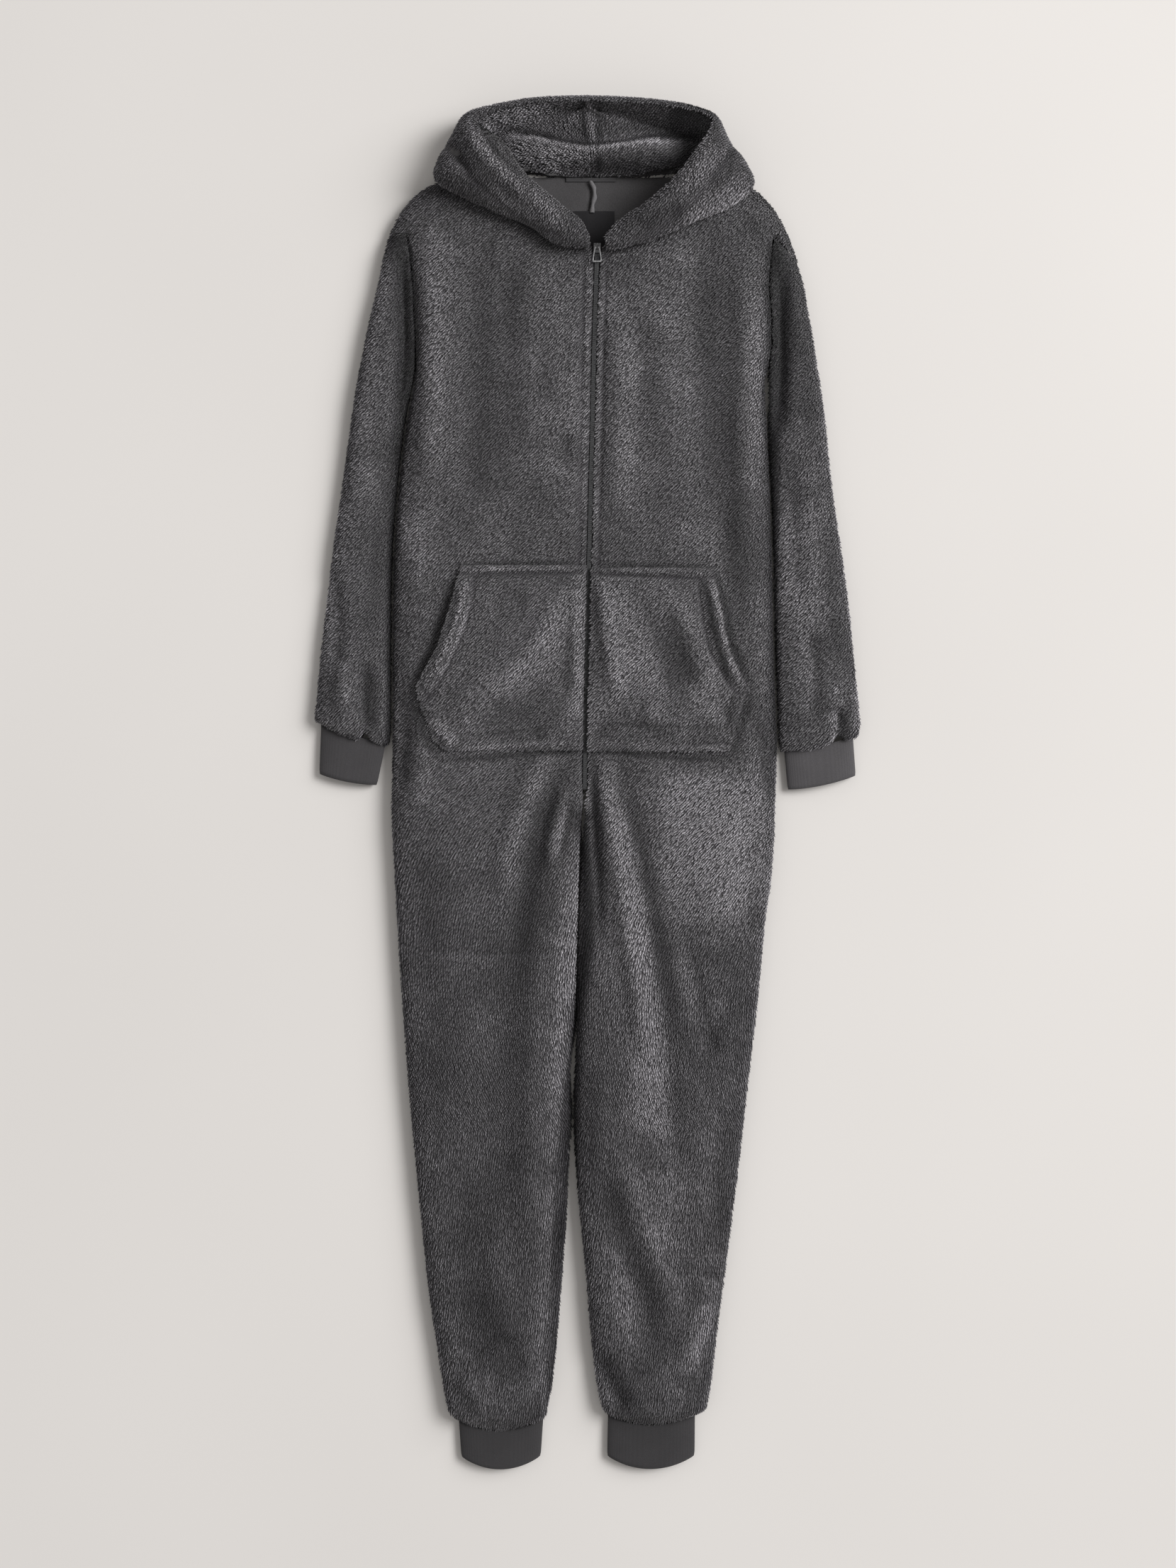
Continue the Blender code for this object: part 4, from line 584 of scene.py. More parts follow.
def resample(line, fractions):
    """Points of a polyline at fractions of its length."""
    line = np.asarray(line, dtype=float)
    steps = np.linalg.norm(np.diff(line, axis=0), axis=1)
    along = np.concatenate([[0.0], np.cumsum(steps)])
    at = np.asarray(fractions) * along[-1]
    return np.stack([np.interp(at, along, line[:, k]) for k in range(line.shape[1])], axis=1)


def grid_normals(grid, wrap=False):
    """Unit normals of a grid of points, averaged from its neighbours."""
    if wrap:
        across = np.roll(grid, -1, axis=1) - np.roll(grid, 1, axis=1)
    else:
        across = np.gradient(grid, axis=1)
    normal = np.cross(across, np.gradient(grid, axis=0))
    return normal / np.maximum(np.linalg.norm(normal, axis=2, keepdims=True), 1e-9)


def outward_sense(grid, wrap=False):
    """1 where the grid's normals point away from the hollow it bends round, else -1."""
    row = len(grid) // 2
    out = grid[row] - grid[row].mean(axis=0)
    return 1.0 if np.einsum("ij,ij->", grid_normals(grid, wrap)[row], out) > 0 else -1.0


def monotone(t, values, at):
    """Values of a smooth curve through rows of points, without overshoot."""
    flat = values.reshape(len(t), -1)
    h = np.diff(t)[:, None]
    delta = np.diff(flat, axis=0) / h
    slope = np.zeros_like(flat)
    a, b = delta[:-1], delta[1:]
    w1, w2 = 2 * h[1:] + h[:-1], h[1:] + 2 * h[:-1]
    same = a * b > 0
    safe_a, safe_b = np.where(same, a, 1.0), np.where(same, b, 1.0)
    slope[1:-1] = np.where(same, (w1 + w2) / (w1 / safe_a + w2 / safe_b), 0.0)
    slope[0], slope[-1] = delta[0], delta[-1]
    k = np.clip(np.searchsorted(t, at) - 1, 0, len(t) - 2)
    step = h[k]
    s = ((at - t[k])[:, None]) / step
    out = ((2 * s ** 3 - 3 * s ** 2 + 1) * flat[k] + (s ** 3 - 2 * s ** 2 + s) * step * slope[k]
           + (3 * s ** 2 - 2 * s ** 3) * flat[k + 1] + (s ** 3 - s ** 2) * step * slope[k + 1])
    return out.reshape((len(at),) + values.shape[1:])


def refine(grid):
    """More rows, smooth through the given ones."""
    runs = np.linalg.norm(np.diff(grid, axis=0), axis=2).mean(axis=1)
    t = np.concatenate([[0.0], np.cumsum(np.maximum(runs, 1e-3))])
    return monotone(t, grid, np.linspace(0.0, t[-1], max(int(t[-1] / GRID_STEP), 6) + 1))


# ---------------------------------------------------------------- body
def section_y(body, row, x):
    """Height on the garment of a point of a body section."""
    reach = (SHOULDER_CENTRE_X - x) / (SHOULDER_CENTRE_X - body["outer_x"][row])
    bend = body["drop"][row] * np.clip(reach, 0.0, 1.0) ** body["bend"][row]
    return body["y"][row] - bend


def top_height(body, row, x, y):
    """Height of the front above the ground at a point of a section."""
    out = rise(body["outer_tuck"][row] + np.abs(x - body["outer_x"][row]) / SIDE_ROUND)
    inn = rise(body["inner_tuck"][row] + np.abs(x - body["inner_x"][row]) / LEG_ROUND)
    top = rise((section_y(body, 0, x) - y) / SHOULDER_ROUND)
    return SIDE_SEAM_Z + (BODY_LOFT - SIDE_SEAM_Z) * out * inn * top


def seam_ends(side, row):
    """Where a section's front panel starts and stops; the right back wraps at the inseam."""
    body = BODY[side]
    strip = SIGN[side] * body["strip"][row]
    start, stop = body["inner_x"][row], body["outer_x"][row]
    return (start + strip, stop) if side == "right" else (start, stop - strip)


def over_top(body, row, start, stop, count):
    """Points of a section from start to stop over its top."""
    x = start + (stop - start) * crowded(count)
    y = section_y(body, row, x)
    return np.stack([x, y, top_height(body, row, x, y)], axis=1)


def front_section(side, row):
    """Front panel section from the zip or inseam to the side."""
    return over_top(BODY[side], row, *seam_ends(side, row), FINE)


def inner_edges(row):
    """Middle between the two sides' inner edges."""
    return (BODY["right"]["inner_x"][row] + BODY["left"]["inner_x"][row]) / 2.0


def back_section(side, row):
    """Back panel section from the centre or inseam, along the ground, to the side."""
    body, sign = BODY[side], SIGN[side]
    start, stop = seam_ends(side, row)
    inner_x, outer_x = body["inner_x"][row], body["outer_x"][row]
    turn = np.linspace(0.0, math.pi / 2.0, 13)
    up = SIDE_SEAM_Z * (1.0 - np.cos(turn))
    along = BACK_CORNER * np.sin(turn)
    runs = []
    if row <= CROTCH_ROW:
        first = (inner_edges(row) if row > NECK_ROWS else SHOULDER_CENTRE_X) + sign * HALF_GAP
    else:
        first = inner_x + sign * BACK_CORNER
        if start != inner_x:
            runs.append(over_top(body, row, start, inner_x, 7)[:, ::2])
        runs.append(np.column_stack([first - sign * along[::-1], up[::-1]]))
    armhole = NOTCH_ROWS <= row < ARMHOLE_ROW
    last = outer_x if armhole else outer_x - sign * BACK_CORNER
    runs.append(np.array([(first, 0.0), (last, 0.0)]))
    if not armhole:
        share = 1.0 - row / NOTCH_ROWS if row < NOTCH_ROWS else 1.0
        runs.append(np.column_stack([last + sign * along, up * share]))
        if stop != outer_x:
            runs.append(over_top(body, row, outer_x, stop, 7)[:, ::2])
    x, z = resample(np.concatenate(runs), SPACED).T
    if row == 0:
        past_neck = np.abs(x - SHOULDER_CENTRE_X) - abs(inner_x - SHOULDER_CENTRE_X)
        z = np.maximum(z, SIDE_SEAM_Z * np.clip(1.0 + past_neck / NECK_RISE, 0.0, 1.0))
    return np.stack([x, section_y(body, row, x), z], axis=1)


def plan_plane(a, b):
    """The upright plane through two points, as its normal."""
    run = np.asarray(b)[:2] - np.asarray(a)[:2]
    normal = np.array([-run[1], run[0], 0.0])
    return normal / np.linalg.norm(normal)


def part_along_seams(grid, side, lift):
    """Moves a panel's seam borders away from its neighbour by half of the seam gap."""
    sign = SIGN[side]
    rows = np.arange(len(grid))
    below = rows > CROTCH_ROW
    strip = np.append(BODY[side]["strip"] > 0, False)
    inner, outer = strip & (side == "right"), strip & (side == "left")
    grid[(rows >= ARMHOLE_ROW) & ~outer, -1, 2] += lift
    grid[0, :-1, 2] += max(lift, 0.0)
    grid[below & ~inner, 0, 2] += lift
    grid[below & inner, 0, 0] += sign * lift
    grid[below & outer, -1, 0] -= sign * lift
    return grid


def body_rows(side, section, over):
    """Sections of one panel with its hem row on the ankle cuff's ring."""
    rows = [resample(section(side, row), SPACED) for row in range(BODY_ROWS)]
    hem = cuff_line("ankle_cuff_" + side, 0.0, over)
    rows.append(resample(hem, SPACED) + (0.0, HEM_GAP, 0.0))
    return part_along_seams(np.array(rows), side, HALF_GAP if over else -HALF_GAP)


def zip_centre(y):
    """Middle of the zip at a height on the garment."""
    return np.interp(-y, -BODY["right"]["y"], inner_edges(slice(None)))


def fill_leg_gap(grid, side):
    """Lets the low edges of the legs' back panels spread until they nearly meet."""
    sign = SIGN[side]
    line = line_of(*GAP_BETWEEN_LEGS)[::-1]
    x, y, z = (grid[..., k] for k in range(3))
    centre = np.interp(y, line[:, 1], line[:, 0]) - sign * (BASE_INSET - HALF_GAP)
    edge = (x * sign).min(axis=1, keepdims=True) * sign
    share = np.clip((line[-1, 1] - y) / 60.0, 0.0, 1.0)
    share *= np.clip((y - line[0, 1] + 20.0) / 20.0, 0.0, 1.0)
    near = np.clip(1.0 - np.abs(x - edge) / 26.0, 0.0, 1.0)
    low = np.clip((SIDE_SEAM_Z - z) / 5.0, 0.0, 1.0)
    move = np.where((edge - centre) * sign > 0.0, centre - edge, 0.0)
    spread = grid.copy()
    spread[..., 0] = x + move * share * near * low
    return spread


# ---------------------------------------------------------------- sleeves and cuffs
def sleeve_section(outer, inner, low_z, high_z, loft, closed):
    """Sleeve section from its back edge, under, round the outer fold and over."""
    outer, inner = np.asarray(outer, dtype=float), np.asarray(inner, dtype=float)
    width = abs(outer[0] - inner[0])
    turn = np.linspace(0.0, math.pi / 2.0, CORNER_POINTS)
    side = min(SLEEVE_CORNER, width * 0.4) * (1.0 - np.sin(turn)) / width
    lift = SLEEVE_SEAM_Z * (1.0 - np.cos(turn))
    spread = min(SLEEVE_ROUND, width * 0.5)
    across = crowded(FINE)
    tuck = 0.0
    under = list(zip(1.0 - side[::-1], lift[::-1]))
    if not closed:
        height = min((high_z - SLEEVE_SEAM_Z) / (loft - SLEEVE_SEAM_Z), 1.0)
        tuck = 1.0 - math.sqrt(1.0 - height ** 2)
        under = [(1.0, low_z)]
    over = rise(across * width / spread) * rise(tuck + (1.0 - across) * width / spread)
    over = SLEEVE_SEAM_Z + (loft - SLEEVE_SEAM_Z) * over
    line = np.array(under + list(zip(side, lift)) + list(zip(across, over)))
    return np.column_stack([outer + (inner - outer) * line[:, :1], line[:, 1]])


def cuff_points(name, along, turns):
    """Points of a rib cuff's section, at turns round it from the fold at b."""
    *corners, top_dip, end_dip = CUFFS[name]
    top_a, top_b, end_a, end_b = (np.array(corner) for corner in corners)
    a = top_a + (end_a - top_a) * along
    b = top_b + (end_b - top_b) * along
    flow = (end_a + end_b - top_a - top_b) / 2.0
    flow = flow / np.linalg.norm(flow)
    c, s = np.cos(turns), np.sin(turns)
    across = np.copysign(np.abs(c) ** 0.7, c)
    up = np.copysign(np.abs(s) ** 0.8, s)
    dip = top_dip + (end_dip - top_dip) * along
    place = (a + b) / 2.0 + np.outer(across, (b - a) / 2.0)
    place = place + np.outer(1.0 - across ** 2, flow) * dip
    return np.column_stack([place, CUFF_HEIGHT / 2.0 * (1.0 + up)])


def cuff_line(name, along, over):
    """Half of a cuff's section: over or under, from its inner fold to its outer one."""
    turns = np.linspace(0.0, math.pi, FINE)
    if name.endswith("left"):
        turns = turns[::-1]
    return cuff_points(name, along, turns if over else -turns)


def wrist_ring(side, along):
    """A wrist cuff's section, from the sleeve's seam under and over back to it."""
    name = "wrist_cuff_" + side
    line = np.concatenate([cuff_line(name, along, False), cuff_line(name, along, True)[::-1]])
    return resample(line, SLEEVE_SPACED)


def sleeve_rows(side, front, back):
    """Sections of one sleeve from the armhole to its hem."""
    sign = SIGN[side]
    step = np.concatenate([back[NOTCH_ROWS::-1, -1], front[1:NOTCH_ROWS + 1, -1]])
    across = plan_plane(step[0], step[NOTCH_ROWS])
    across = across * -np.sign(across[1])
    rows = [step + (sign * CAP_GAP, (CAP_GAP - across[0] * sign * CAP_GAP) / across[1], 0.0)]
    for k, fold in enumerate(CAPS[side], start=1):
        edge = front[NOTCH_ROWS + k, -1] + (sign * SEAM_GAP, 0.0, 0.0)
        low = back[NOTCH_ROWS + k, -1, 2]
        loft = min(SLEEVE_LOFT, edge[2] + CAP_STEP * k)
        rows.append(sleeve_section(fold, edge[:2], low, edge[2], loft,
                                   NOTCH_ROWS + k >= ARMHOLE_ROW))
    for (*outer, inner_x, inner_y), loft in zip(SLEEVES[side], SLEEVE_LOFTS):
        rows.append(sleeve_section(outer, (inner_x, inner_y), 0.0, 0.0, loft, True))
    rows = [resample(row, SLEEVE_SPACED) for row in rows]
    return np.array(rows + [wrist_ring(side, 0.0) + (0.0, SEAM_GAP, 0.0)])


def lobed(grid, side):
    """Draws the sleeve's hem down in lobes and up between them."""
    across, drop = np.array(HEM_LOBES[side]).T
    place, hem_y = plan(across, HEM_LINE)
    share = np.clip((hem_y + 45.0 - grid[..., 1]) / 45.0, 0.0, 1.0) ** 2
    made = grid.copy()
    made[..., 1] -= np.interp(grid[..., 0], place, drop * PX) * share
    return made


# ---------------------------------------------------------------- hood
def hood_section(side, k):
    """Outer cloth of the hood at one station: rim, crest, outline, under and end."""
    rim, outer, end = np.reshape(HOOD[side][k], (3, 2)).astype(float)
    rim_z, outer_z, under_z, _ = (float(level) for level in HOOD_LEVELS[k])
    width = np.linalg.norm(outer - rim)
    crest_z = rim_z + HOOD_CREST * min(1.0, width / HOOD_FULL_WIDTH) ** 2
    f = crowded(FINE)
    dip = (crest_z - rim_z) * (1.0 - np.clip(f / RIM_SHARE, 0.0, 1.0)) ** 2
    spread = max(width * HOOD_ROUND_SHARE, 1.0)
    z = outer_z + (crest_z - outer_z) * rise((1.0 - f) * width / spread) - dip
    over = np.column_stack([rim + (outer - rim) * f[:, None], z])
    back = np.linalg.norm(end - outer)
    corner = min(HOOD_CORNER, outer_z - under_z, back * 0.6)
    turn = np.linspace(0.0, math.pi / 2.0, CORNER_POINTS)
    run = (end - outer) / back
    fold = np.column_stack([outer + run * (corner * (1.0 - np.cos(turn)))[:, None],
                            under_z + (outer_z - under_z) * (1.0 - np.sin(turn))])
    under = np.array([fold[-1], (*end, under_z)])
    return np.concatenate([resample(over, HOOD_OVER), resample(fold, HOOD_FOLD)[1:],
                           resample(under, HOOD_UNDER)[1:]])


def roll_height(x, y):
    """Height of the hood's inside along its floor."""
    neck, crest = (np.interp(x, *line_of(*line).T) for line in (NECK_LINE, ROLL_CREST))
    share = (y - neck) / np.maximum(crest - neck, 8.0)
    return np.interp(share, *np.array(ROLL_PROFILE).T)


def lining_rows(outer):
    """Fur face of the hood's lining at each station."""
    tuck = np.array(HOOD_LEVELS)[:, 3]
    count = outer.shape[1]
    share = np.linspace(0.0, 1.0, count)[None, :, None]
    inside = outer - grid_normals(outer) * outward_sense(outer) * LINING_SETBACK
    inside[..., 2] = np.maximum(inside[..., 2], LINING_SETBACK)
    span = inside[:, :1] + (inside[:, -1:] - inside[:, :1]) * share
    grid = span + (inside - span) * tuck[:, None, None]
    first = len(HOOD_OVER) + len(HOOD_FOLD) - 2
    lift = np.clip((np.arange(count) - first) / 6.0, 0.0, 1.0)[None, :]
    height = roll_height(grid[..., 0], grid[..., 1])
    rows = (np.arange(len(grid)) > NECK_STATION)[:, None]
    grid[..., 2] += np.where(rows, np.maximum(height - grid[..., 2], 0.0) * lift, 0.0)
    grid[NECK_STATION, first:-1, 2] += LINING_STEP
    return grid


# ---------------------------------------------------------------- strokes
def from_line(x, y, line):
    """Distance of plan points from a line, and the share of the way along it."""
    best = np.full(x.shape, 1e9)
    where = np.zeros(x.shape)
    lengths = np.linalg.norm(np.diff(line, axis=0), axis=1)
    total, done = lengths.sum(), 0.0
    for (ax, ay), (bx, by), size in zip(line[:-1], line[1:], lengths):
        t = ((x - ax) * (bx - ax) + (y - ay) * (by - ay)) / size ** 2
        t = np.clip(t, 0.0, 1.0)
        away = np.hypot(x - ax - (bx - ax) * t, y - ay - (by - ay) * t)
        near = away < best
        best = np.where(near, away, best)
        where = np.where(near, (done + t * size) / total, where)
        done += size
    return best, where


def strokes_at(x, y, strokes, reach, mirror=1.0):
    """Each stroke that comes near: where it does, its bell, its nearer end and its amount."""
    for half, amount, *flat in strokes:
        line = line_of(*flat) * (mirror, 1.0)
        low, high = line.min(axis=0) - reach * half, line.max(axis=0) + reach * half
        near = (x > low[0]) & (x < high[0]) & (y > low[1]) & (y < high[1])
        if near.any():
            away, along = from_line(x[near], y[near], line)
            yield near, np.exp(-(away / half) ** 2), np.minimum(along, 1.0 - along), amount


def fold_height(x, y, folds, mirror):
    """Rise and fall of the folds at plan points."""
    total = np.zeros(x.shape)
    for near, bell, end, height in strokes_at(x, y, folds, 3.0, mirror):
        total[near] += height * bell * np.clip(end * 5.0, 0.0, 1.0) ** 0.7
    return total


def relief_tone(points, folds, mirror, share):
    """Light and shade the pile takes from the slope of the folds beneath it."""
    x, y = points[:, 0], points[:, 1]
    across = fold_height(x + 1.0, y, folds, mirror) - fold_height(x - 1.0, y, folds, mirror)
    down = fold_height(x, y + 1.0, folds, mirror) - fold_height(x, y - 1.0, folds, mirror)
    slope = -(across * LIGHT_FROM[0] + down * LIGHT_FROM[1]) / 2.0 * share
    return 1.0 + np.clip(slope, -0.6, 0.7)


def painted_light_and_shade(points, strokes, mirror):
    """Painted light and shade strokes on the pile."""
    total = np.zeros(len(points))
    for near, bell, end, gain in strokes_at(points[:, 0], points[:, 1], strokes, 2.5, mirror):
        total[near] += gain * bell * np.clip(end * 4.0, 0.0, 1.0) ** 0.5
    return 1.0 + np.clip(total, -0.75, 1.2)


def groove_depth(x, y, grooves):
    """Depth of the sewn lines at plan points, in mm."""
    total = np.zeros(x.shape)
    for near, bell, _, depth in strokes_at(x, y, grooves, 3.0):
        total[near] = np.maximum(total[near], bell * depth)
    return total


def waves(x, y, size, seed):
    """Soft uneven field from -1 to 1, the same on each run."""
    turn = np.random.default_rng(seed)
    total = np.zeros(np.shape(x))
    for _ in range(7):
        angle, phase = turn.uniform(0, 2 * math.pi, 2)
        wave = 2 * math.pi / (size * turn.uniform(0.7, 1.6))
        total += np.sin(wave * (x * math.cos(angle) + y * math.sin(angle)) + phase)
    return total / 3.2


# ---------------------------------------------------------------- tones
def line_shade(points, depth, half, *lines):
    """Darker pile along the nearest of some lines."""
    away = np.minimum.reduce([from_line(*points[:, :2].T, line_of(*line))[0] for line in lines])
    return 1.0 - depth * np.exp(-(away / half) ** 2)


def patch_tone(points, seed):
    """Lighter and darker patches of the pile."""
    x, y = points[:, 0], points[:, 1]
    total = 0.05 * waves(x, y, 22.0, seed + 3) + 0.06 * waves(x, y, 60.0, seed + 4)
    return 1.0 + total + 0.07 * waves(x * 2.2, y, 210.0, seed + 5)


def back_tone(points):
    """Shade on what shows of the back panels: between the legs and along one inseam."""
    return (line_shade(points, 0.85, 12.0, GAP_BETWEEN_LEGS)
            * line_shade(points, 0.6, 9.0, WRAPPED_INSEAM))


def body_tone(points):
    """Painted shade in the gaps beside the sleeves and between the legs, and puckers by the zip
    painted in light and shade.
    """
    x, y = points[:, 0], points[:, 1]
    away = np.abs(x - zip_centre(y))
    pucker_light_and_shade = np.sin(y * 0.52 + 1.4 * np.sin(y * 0.11)) * np.exp(-(away / 8.0) ** 2) * (y > 250.0)
    return (line_shade(points, 0.85, 5.0, *ARMHOLES)
            * line_shade(points, 0.85, 9.0, GAP_BETWEEN_LEGS) * (1.0 + 0.28 * pucker_light_and_shade))


def sleeve_tone(points):
    """Shade beside the body on a sleeve, broadest below the armhole and flat in its middle."""
    away = np.minimum.reduce([from_line(*points[:, :2].T, line_of(*line))[0]
                              for line in ARMHOLES])
    half = 8.0 + 18.0 * np.exp(-((points[:, 1] - 560.0) / 170.0) ** 2)
    return 1.0 - 0.95 * np.exp(-(away / half) ** 4)


def hood_tone(points):
    """Painted light over the pile inside the hood, less of it towards its right corner, which lies
    in shade.
    """
    return 1.44 - 0.3 * np.clip((points[:, 0] - 40.0) / 70.0, 0.0, 1.0)


def leg_share(y):
    """0 on the torso, 1 well down the legs."""
    return np.clip((-y - LEG_START) / LEG_TURN, 0.0, 1.0)


# ---------------------------------------------------------------- materials
def add_node(tree, kind, values=(), **sources):
    """A node with its plain inputs set and its linked inputs, named by sources, joined."""
    made = tree.nodes.new("ShaderNode" + kind)
    set_inputs(made, values)
    for name, source in sources.items():
        tree.links.new(source, made.inputs[name])
    return made


def set_inputs(node, values):
    """Sets plain values on a node's own sockets."""
    for name, value in dict(values).items():
        node.inputs[name].default_value = value


def new_material(name, values):
    """A material, its node tree and its shader with plain values set."""
    mat = bpy.data.materials.new(name)
    mat.use_nodes = True
    shader = mat.node_tree.nodes["Principled BSDF"]
    set_inputs(shader, values)
    return mat, mat.node_tree, shader


def noise(tree, scale, detail=3.0, stretch=(1.0, 1.0, 1.0)):
    """Noise in object space, stretched along an axis."""
    place = add_node(tree, "TexCoord").outputs["Object"]
    mapping = add_node(tree, "Mapping", {"Scale": stretch}, Vector=place)
    made = add_node(tree, "TexNoise", {"Scale": scale, "Detail": detail},
                    Vector=mapping.outputs["Vector"])
    return made.outputs["Fac"]


def locks(tree):
    """Fine uneven rows of locks, as a wave that follows the pile: diagonal above, straight
    down the legs."""
    place = add_node(tree, "TexCoord").outputs["Object"]
    apart = add_node(tree, "SeparateXYZ", Vector=place)
    angle = add_node(tree, "MapRange", {"From Min": -(LEG_START + LEG_TURN) * MM,
                                        "From Max": -LEG_START * MM, "To Min": LEG_LEAN,
                                        "To Max": LEAN}, Value=apart.outputs["Y"])
    turn = add_node(tree, "VectorRotate", Vector=place, Angle=angle.outputs["Result"])
    turn.rotation_type = "Z_AXIS"
    made = add_node(tree, "TexWave", {"Scale": LOCK_ROWS, "Distortion": 5.0, "Detail": 2.0,
                                      "Detail Scale": 1.1, "Detail Roughness": 0.6},
                    Vector=turn.outputs["Vector"])
    made.bands_direction = "X"
    return made.outputs["Fac"]


def ramp(tree, source, *stops):
    """A colour ramp fed by a value, from its places and colours."""
    made = add_node(tree, "ValToRGB", Fac=source)
    while len(made.color_ramp.elements) < len(stops):
        made.color_ramp.elements.new(0.5)
    for element, (place, colour) in zip(made.color_ramp.elements, stops):
        element.position = place
        element.color = (*colour, 1.0)
    return made.outputs["Color"]


def multiply(tree, a, b):
    """Two colours multiplied."""
    made = tree.nodes.new("ShaderNodeMix")
    made.data_type = "RGBA"
    made.blend_type = "MULTIPLY"
    made.inputs[0].default_value = 1.0
    tree.links.new(a, made.inputs[6])
    tree.links.new(b, made.inputs[7])
    return made.outputs[2]


def finish_shader(tree, shader, colour, height=None, strength=0.0, distance=0.0):
    """Joins a colour and a bump to a shader."""
    tree.links.new(colour, shader.inputs["Base Color"])
    if height is not None:
        bump = add_node(tree, "Bump", {"Strength": strength, "Distance": distance}, Height=height)
        tree.links.new(bump.outputs["Normal"], shader.inputs["Normal"])


def grey(value):
    """A plain grey."""
    return (value,) * 3


def pile_material():
    """Grey teddy pile: painted light at the tips, painted shade at the roots, uneven from patch to
    patch.
    """
    mat, tree, shader = new_material("pile", {
        "Roughness": 0.92, "Metallic": 0.0, "Sheen Weight": 0.25, "Sheen Roughness": 0.5,
        "Specular IOR Level": 0.2})
    tone = tree.nodes.new("ShaderNodeAttribute")
    tone.attribute_name = "tone"
    colour = ramp(tree, tone.outputs["Fac"], (0.0, (0.007, 0.0067, 0.0072)),
                  (0.16, (0.033, 0.0315, 0.034)), (0.40, (0.115, 0.112, 0.116)),
                  (0.62, (0.252, 0.246, 0.254)), (1.0, (0.615, 0.602, 0.620)))
    patch = ramp(tree, noise(tree, 14.0, 4.0), (0.25, grey(0.80)), (0.75, grey(1.15)))
    both = multiply(tree, colour, patch)
    hair = locks(tree)
    fleck = ramp(tree, hair, (0.15, (0.42, 0.41, 0.42)), (0.85, (1.50, 1.48, 1.52)))
    finish_shader(tree, shader, multiply(tree, both, fleck), hair, 0.5, 0.0008)
    return mat


def knit_material(name, colour, scale):
    """Smooth knit: fine loops and a slight cloudiness."""
    mat, tree, shader = new_material(name, {
        "Roughness": 0.88, "Metallic": 0.0, "Sheen Weight": 0.15, "Specular IOR Level": 0.25})
    loops = noise(tree, scale, 2.0, (1.0, 0.5, 1.0))
    base = ramp(tree, loops, (0.3, tuple(c * 0.82 for c in colour)),
                (0.7, tuple(c * 1.18 for c in colour)))
    cloud = ramp(tree, noise(tree, 25.0), (0.3, grey(0.9)), (0.7, grey(1.08)))
    finish_shader(tree, shader, multiply(tree, base, cloud), loops, 0.4, 0.0004)
    return mat


def metal_material(name, dark, light):
    """Nickel with fine wear."""
    mat, tree, shader = new_material(name, {"Roughness": 0.34, "Metallic": 1.0})
    wear = noise(tree, 600.0, 4.0)
    colour = ramp(tree, wear, (0.35, (dark, dark, dark * 1.03)),
                  (0.7, (light, light, light * 1.02)))
    finish_shader(tree, shader, colour, wear, 0.15, 0.0002)
    return mat


PILE = pile_material()
INSIDE = knit_material("inside_knit", (0.068, 0.065, 0.067), 1400.0)
# The same rib knit in a copy for each cuff, with painted light: the wrist on the lit side lighter,
# the other wrist and the ankles darker.
RIB_PAINTED_LIGHT = {"wrist_cuff_left": 0.078, "wrist_cuff_right": 0.050, "ankle_cuff_left": 0.038,
             "ankle_cuff_right": 0.037}
RIB = {name: knit_material(name + "_rib", (shade, shade * 0.95, shade), 2200.0)
       for name, shade in RIB_PAINTED_LIGHT.items()}
TAPE = knit_material("zip_tape_cloth", (0.030, 0.030, 0.032), 2600.0)
COIL = knit_material("zip_coil_nylon", (0.075, 0.075, 0.078), 1800.0)
LABEL = knit_material("label_cloth", (0.020, 0.019, 0.021), 2600.0)
SLIDER = metal_material("slider_metal", 0.10, 0.24)
PULL = metal_material("pull_metal", 0.34, 0.66)
BINDING = knit_material("binding_knit", (0.058, 0.056, 0.058), 1800.0)
# The seam allowance's knit, painted lighter for the light its ridge catches.
SEAM = knit_material("seam_allowance_knit_painted_light", (0.16, 0.155, 0.16), 1800.0)
# The finish of each CAD piece that is shown as it is.
CARRIED = {"zip_coil": COIL, "zip_tape_left": TAPE, "zip_tape_right": TAPE,
           "zip_slider": SLIDER, "zip_pull": PULL, "neck_binding": BINDING, "neck_label": LABEL}


# ---------------------------------------------------------------- meshes
def add_object(name, data):
    """An object in the scene."""
    made = bpy.data.objects.new(name, data)
    bpy.context.scene.collection.objects.link(made)
    return made


def add_mesh(name, points, faces, mats, face_mats=None, tone=None, smooth=True):
    """One object from points in mm."""
    mesh = bpy.data.meshes.new(name)
    faces = faces if isinstance(faces, list) else faces.tolist()
    mesh.from_pydata((np.asarray(points) * MM).tolist(), [], faces)
    for mat in mats:
        mesh.materials.append(mat)
    if face_mats is not None:
        mesh.polygons.foreach_set("material_index", np.asarray(face_mats, dtype=np.int32))
    mesh.polygons.foreach_set("use_smooth", [smooth] * len(mesh.polygons))
    if tone is not None:
        layer = mesh.attributes.new("tone", "FLOAT", "POINT")
        layer.data.foreach_set("value", np.asarray(tone, dtype=np.float32))
    mesh.update()
    return add_object(name, mesh)


def grid_faces(rows, cols, offset=0, flip=False, wrap=False):
    """Quads of a grid of points."""
    r, c = np.meshgrid(np.arange(rows - 1), np.arange(cols if wrap else cols - 1), indexing="ij")
    n = (c + 1) % cols
    quads = np.stack([r * cols + c, r * cols + n, (r + 1) * cols + n, (r + 1) * cols + c], axis=-1)
    quads = quads.reshape(-1, 4) + offset
    return quads[:, ::-1] if flip else quads


